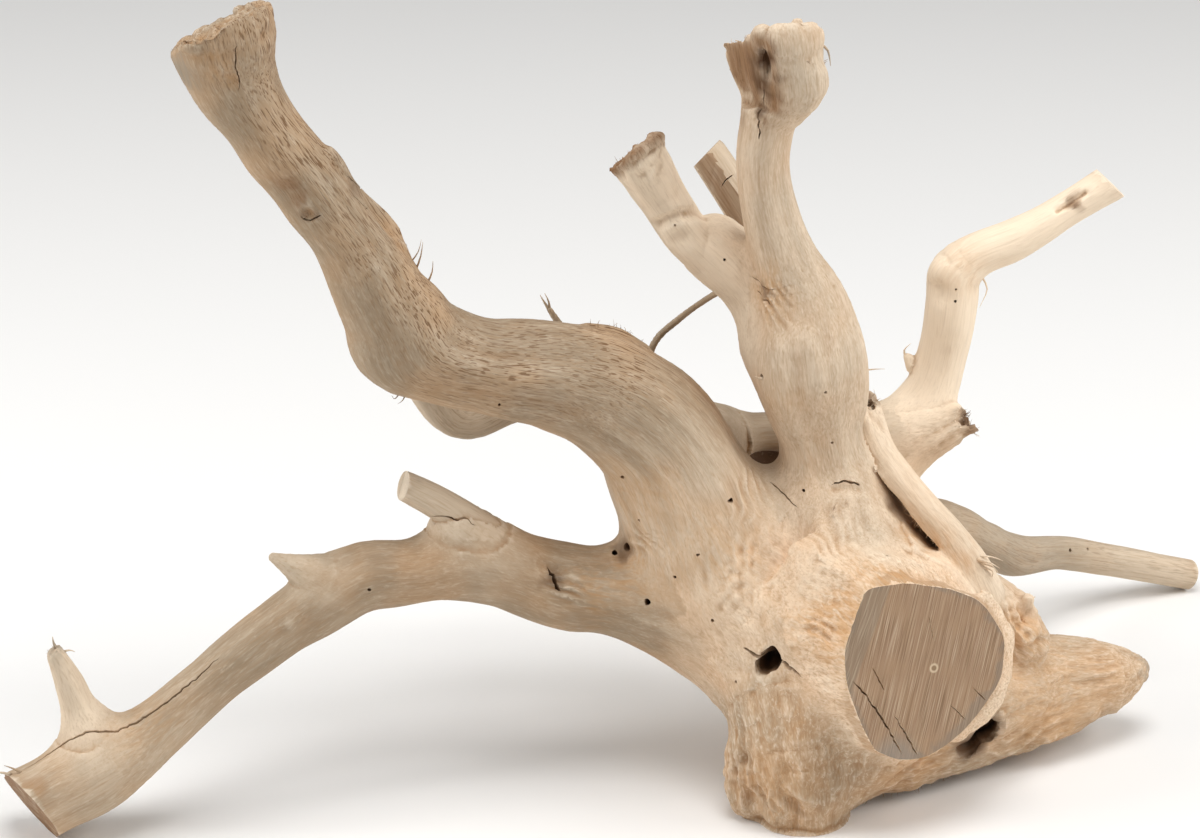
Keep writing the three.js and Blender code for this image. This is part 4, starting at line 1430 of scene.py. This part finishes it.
# The shaved strip's own scratches: length and width in millimetres.
STRIP_LENGTH = 24
STRIP_WIDTH = 0.8
end_grain = bpy.data.materials.new("sawn_end_grain")
end_grain.use_nodes = True
tree = end_grain.node_tree
surface = tree.nodes["Principled BSDF"]
place = node(tree, "TexCoord", "Object")
spot = node(tree, "VectorMath", 0, {0: place, 1: tuple(SAWN_CENTRE * MM)}, operation="SUBTRACT")
over = node(tree, "VectorMath", "Value", {0: spot, 1: tuple(SAW_ACROSS / MM)}, operation="DOT_PRODUCT")
down = node(tree, "VectorMath", "Value", {0: spot, 1: tuple(SAW_ALONG / MM)}, operation="DOT_PRODUCT")
pattern = {}
# Scratches of the saw: width and length in millimetres.
for name, width, length in (("tooth", 0.9, 60), ("scratch", 0.45, 26)):
    wide = node(tree, "Math", 0, {0: over, 1: 1 / width}, operation="MULTIPLY")
    long = node(tree, "Math", 0, {0: down, 1: 1 / length}, operation="MULTIPLY")
    flat = node(tree, "CombineXYZ", 0, {0: wide, 1: long})
    pattern[name] = node(tree, "TexNoise", 0, {"Vector": flat, "Scale": 1, "Detail": 2})
for name, size in (("patch", 15), ("fleck", 5)):
    pattern[name] = node(tree, "TexNoise", 0, {"Vector": place, "Scale": 1 / (size * MM), "Detail": 2})
from_pith = node(tree, "VectorMath", "Value", {0: spot, 1: tuple(PITH * MM)}, operation="DISTANCE")
# How far inside the rim each place lies, less than nothing within it, in millimetres.
rim = -FAR
for (ax, ay), (bx, by) in zip(SAWN_OUTLINE, SAWN_OUTLINE[1:] + SAWN_OUTLINE[:1]):
    out = ((by - ay) * SAWN_ACROSS - (bx - ax) * SAWN_UP) / math.hypot(bx - ax, by - ay)
    beside = node(tree, "VectorMath", "Value", {0: spot, 1: tuple(out / MM)}, operation="DOT_PRODUCT")
    beyond = node(tree, "Math", 0, {0: beside, 1: (ax * SAWN_ACROSS + ay * SAWN_UP) @ out},
                  operation="SUBTRACT")
    rim = node(tree, "Math", 0, {0: rim, 1: beyond}, operation="MAXIMUM")
uneven = node(tree, "Math", 0, {0: pattern["fleck"], 1: RIM_UNEVEN, 2: rim}, operation="MULTIPLY_ADD")
worn = node(tree, "VectorMath", "Value", {0: spot, 1: tuple(WORN * MM)}, operation="DISTANCE")
# The shaved strip lies beyond its edge line, and its own scratches run along that line.
(edge_x, edge_y), (end_x, end_y), _ = SHAVED[0]
strip_along = np.subtract((end_x, end_y), (edge_x, edge_y)) / math.dist((end_x, end_y), (edge_x, edge_y))
strip_out = -strip_along[1] * SAWN_ACROSS + strip_along[0] * SAWN_UP
strip_out *= -math.copysign(1, strip_out @ SAWN_ACROSS)
strip_along = strip_along[0] * SAWN_ACROSS + strip_along[1] * SAWN_UP
edge_start = (edge_x * SAWN_ACROSS + edge_y * SAWN_UP) * MM
from_edge = node(tree, "VectorMath", 0, {0: spot, 1: tuple(edge_start)}, operation="SUBTRACT")
strip = node(tree, "VectorMath", "Value", {0: from_edge, 1: tuple(strip_out / MM)}, operation="DOT_PRODUCT")
strip_step = strip_along / MM / STRIP_LENGTH
strip_down = node(tree, "VectorMath", "Value", {0: from_edge, 1: tuple(strip_step)}, operation="DOT_PRODUCT")
strip_over = node(tree, "Math", 0, {0: strip, 1: 1 / STRIP_WIDTH}, operation="MULTIPLY")
strip_flat = node(tree, "CombineXYZ", 0, {0: strip_over, 1: strip_down})
strip_line = node(tree, "TexNoise", 0, {"Vector": strip_flat, "Scale": 1, "Detail": 2})
in_strip = node(tree, "MapRange", 0, {"Value": strip, "From Min": 0, "From Max": 0.8})
LAYERS = [
    ("#BDA385", pattern["tooth"], 0.48, 0.70, 0.5, 1.0),
    ("#785E45", pattern["scratch"], 0.50, 0.66, 0.75, 1.0),
    ("#CDB89F", pattern["scratch"], 0.45, 0.32, 0.65, 1.0),
    ("#A88A6C", pattern["patch"], 0.45, 0.65, 0.4, 1.0),
    ("#877A6C", uneven, 4.4, 6.6, 0.55, 1.0),
    ("#8E867C", worn, 14 * MM, 7 * MM, 0.6, 1.0),
    ("#8B7A67", strip, 0.0, 0.8, 0.6, 1.0),
    ("#B9A78F", strip_line, 0.52, 0.66, 0.6, in_strip),
    ("#D0BA9D", from_pith, 2.2 * MM, 1.7 * MM, 0.9, 1.0),
    ("#8A6F53", from_pith, 1.3 * MM, 0.9 * MM, 0.9, 1.0),
]
colour = lay_colours(tree, linear("#9D8066"), LAYERS)
tree.links.new(colour, surface.inputs["Base Color"])
surface.inputs["Roughness"].default_value = 0.85
surface.inputs["Specular IOR Level"].default_value = 0.3
height = node(tree, "Math", 0, {0: pattern["scratch"], 1: 0.6, 2: pattern["tooth"]},
              operation="MULTIPLY_ADD")
bump = node(tree, "Bump", 0, {"Height": height, "Strength": 0.5, "Distance": 0.4 * MM})
tree.links.new(bump, surface.inputs["Normal"])
wood.data.materials.append(end_grain)
# The faces that the saw and the blade left: near their planes, looking their way and within the sawn limb.
SAWN_NEAR = 0.6
SAWN_FACING = 0.97
SAWN_EDGE = 52
middles = read_all(wood.data.polygons, "center", np.float32, 3) / MM
looks = read_all(wood.data.polygons, "normal", np.float32, 3)
sawn = np.zeros(len(middles), np.int32)
for spot, look in sawn_planes:
    sawn |= (np.abs((middles - spot) @ look) < SAWN_NEAR) & (looks @ look > SAWN_FACING)
sawn *= np.linalg.norm(middles - SAWN_CENTRE, axis=1) < SAWN_EDGE
wood.data.polygons.foreach_set("material_index", sawn)

# The stage: a pale sheet of studio paper as the floor, soft light from both sides and above, and a camera
# at the photo's angle. None of it is part of the wood.
FLOOR = 12000
floor = make_mesh("floor", FLOOR / 2 * np.array([(-1, -1, 0), (1, -1, 0), (1, 1, 0), (-1, 1, 0)]),
                  [(0, 1, 2, 3)])
pale = bpy.data.materials.new("pale_studio_paper")
pale.use_nodes = True
pale.node_tree.nodes["Principled BSDF"].inputs["Base Color"].default_value = linear("#F2F1EF")
pale.node_tree.nodes["Principled BSDF"].inputs["Roughness"].default_value = 0.9
floor.data.materials.append(pale)

world = bpy.data.worlds.new("studio")
bpy.context.scene.world = world
world.use_nodes = True
world.node_tree.nodes["Background"].inputs["Color"].default_value = (1, 1, 1, 1)
world.node_tree.nodes["Background"].inputs["Strength"].default_value = 0.24
bpy.context.scene.view_settings.view_transform = "Standard"

# Each soft box: its place and width in metres, and its power in watts. All look at the middle of the wood.
LAMP_AIM = Vector((0, 0, 0.12))
LAMPS = {"left_box": ((-1.6, -0.3, 1.1), 1.1, 20), "right_box": ((1.6, -0.3, 1.2), 1.1, 20),
         "top_box": ((0.1, -0.5, 2.1), 1.1, 25)}
for name, (spot, size, power) in LAMPS.items():
    lamp = bpy.data.lights.new(name, "AREA")
    lamp.energy = power
    lamp.size = size
    lamp_object = bpy.data.objects.new(name, lamp)
    lamp_object.location = spot
    lamp_object.rotation_euler = (LAMP_AIM - Vector(spot)).to_track_quat("-Z", "Y").to_euler()
    bpy.context.scene.collection.objects.link(lamp_object)

# The camera stands in front of the wood and looks down on it by this many degrees.
CAMERA_PLACE = (-0.020, -1.40706, 0.70445)
VIEW_ELEVATION = 22
camera = bpy.data.cameras.new("camera")
camera.lens = 108
camera.sensor_width = 36
camera.sensor_fit = "HORIZONTAL"
camera_object = bpy.data.objects.new("camera", camera)
camera_object.location = CAMERA_PLACE
camera_object.rotation_euler = (math.radians(90 - VIEW_ELEVATION), 0, 0)
bpy.context.scene.collection.objects.link(camera_object)
bpy.context.scene.camera = camera_object
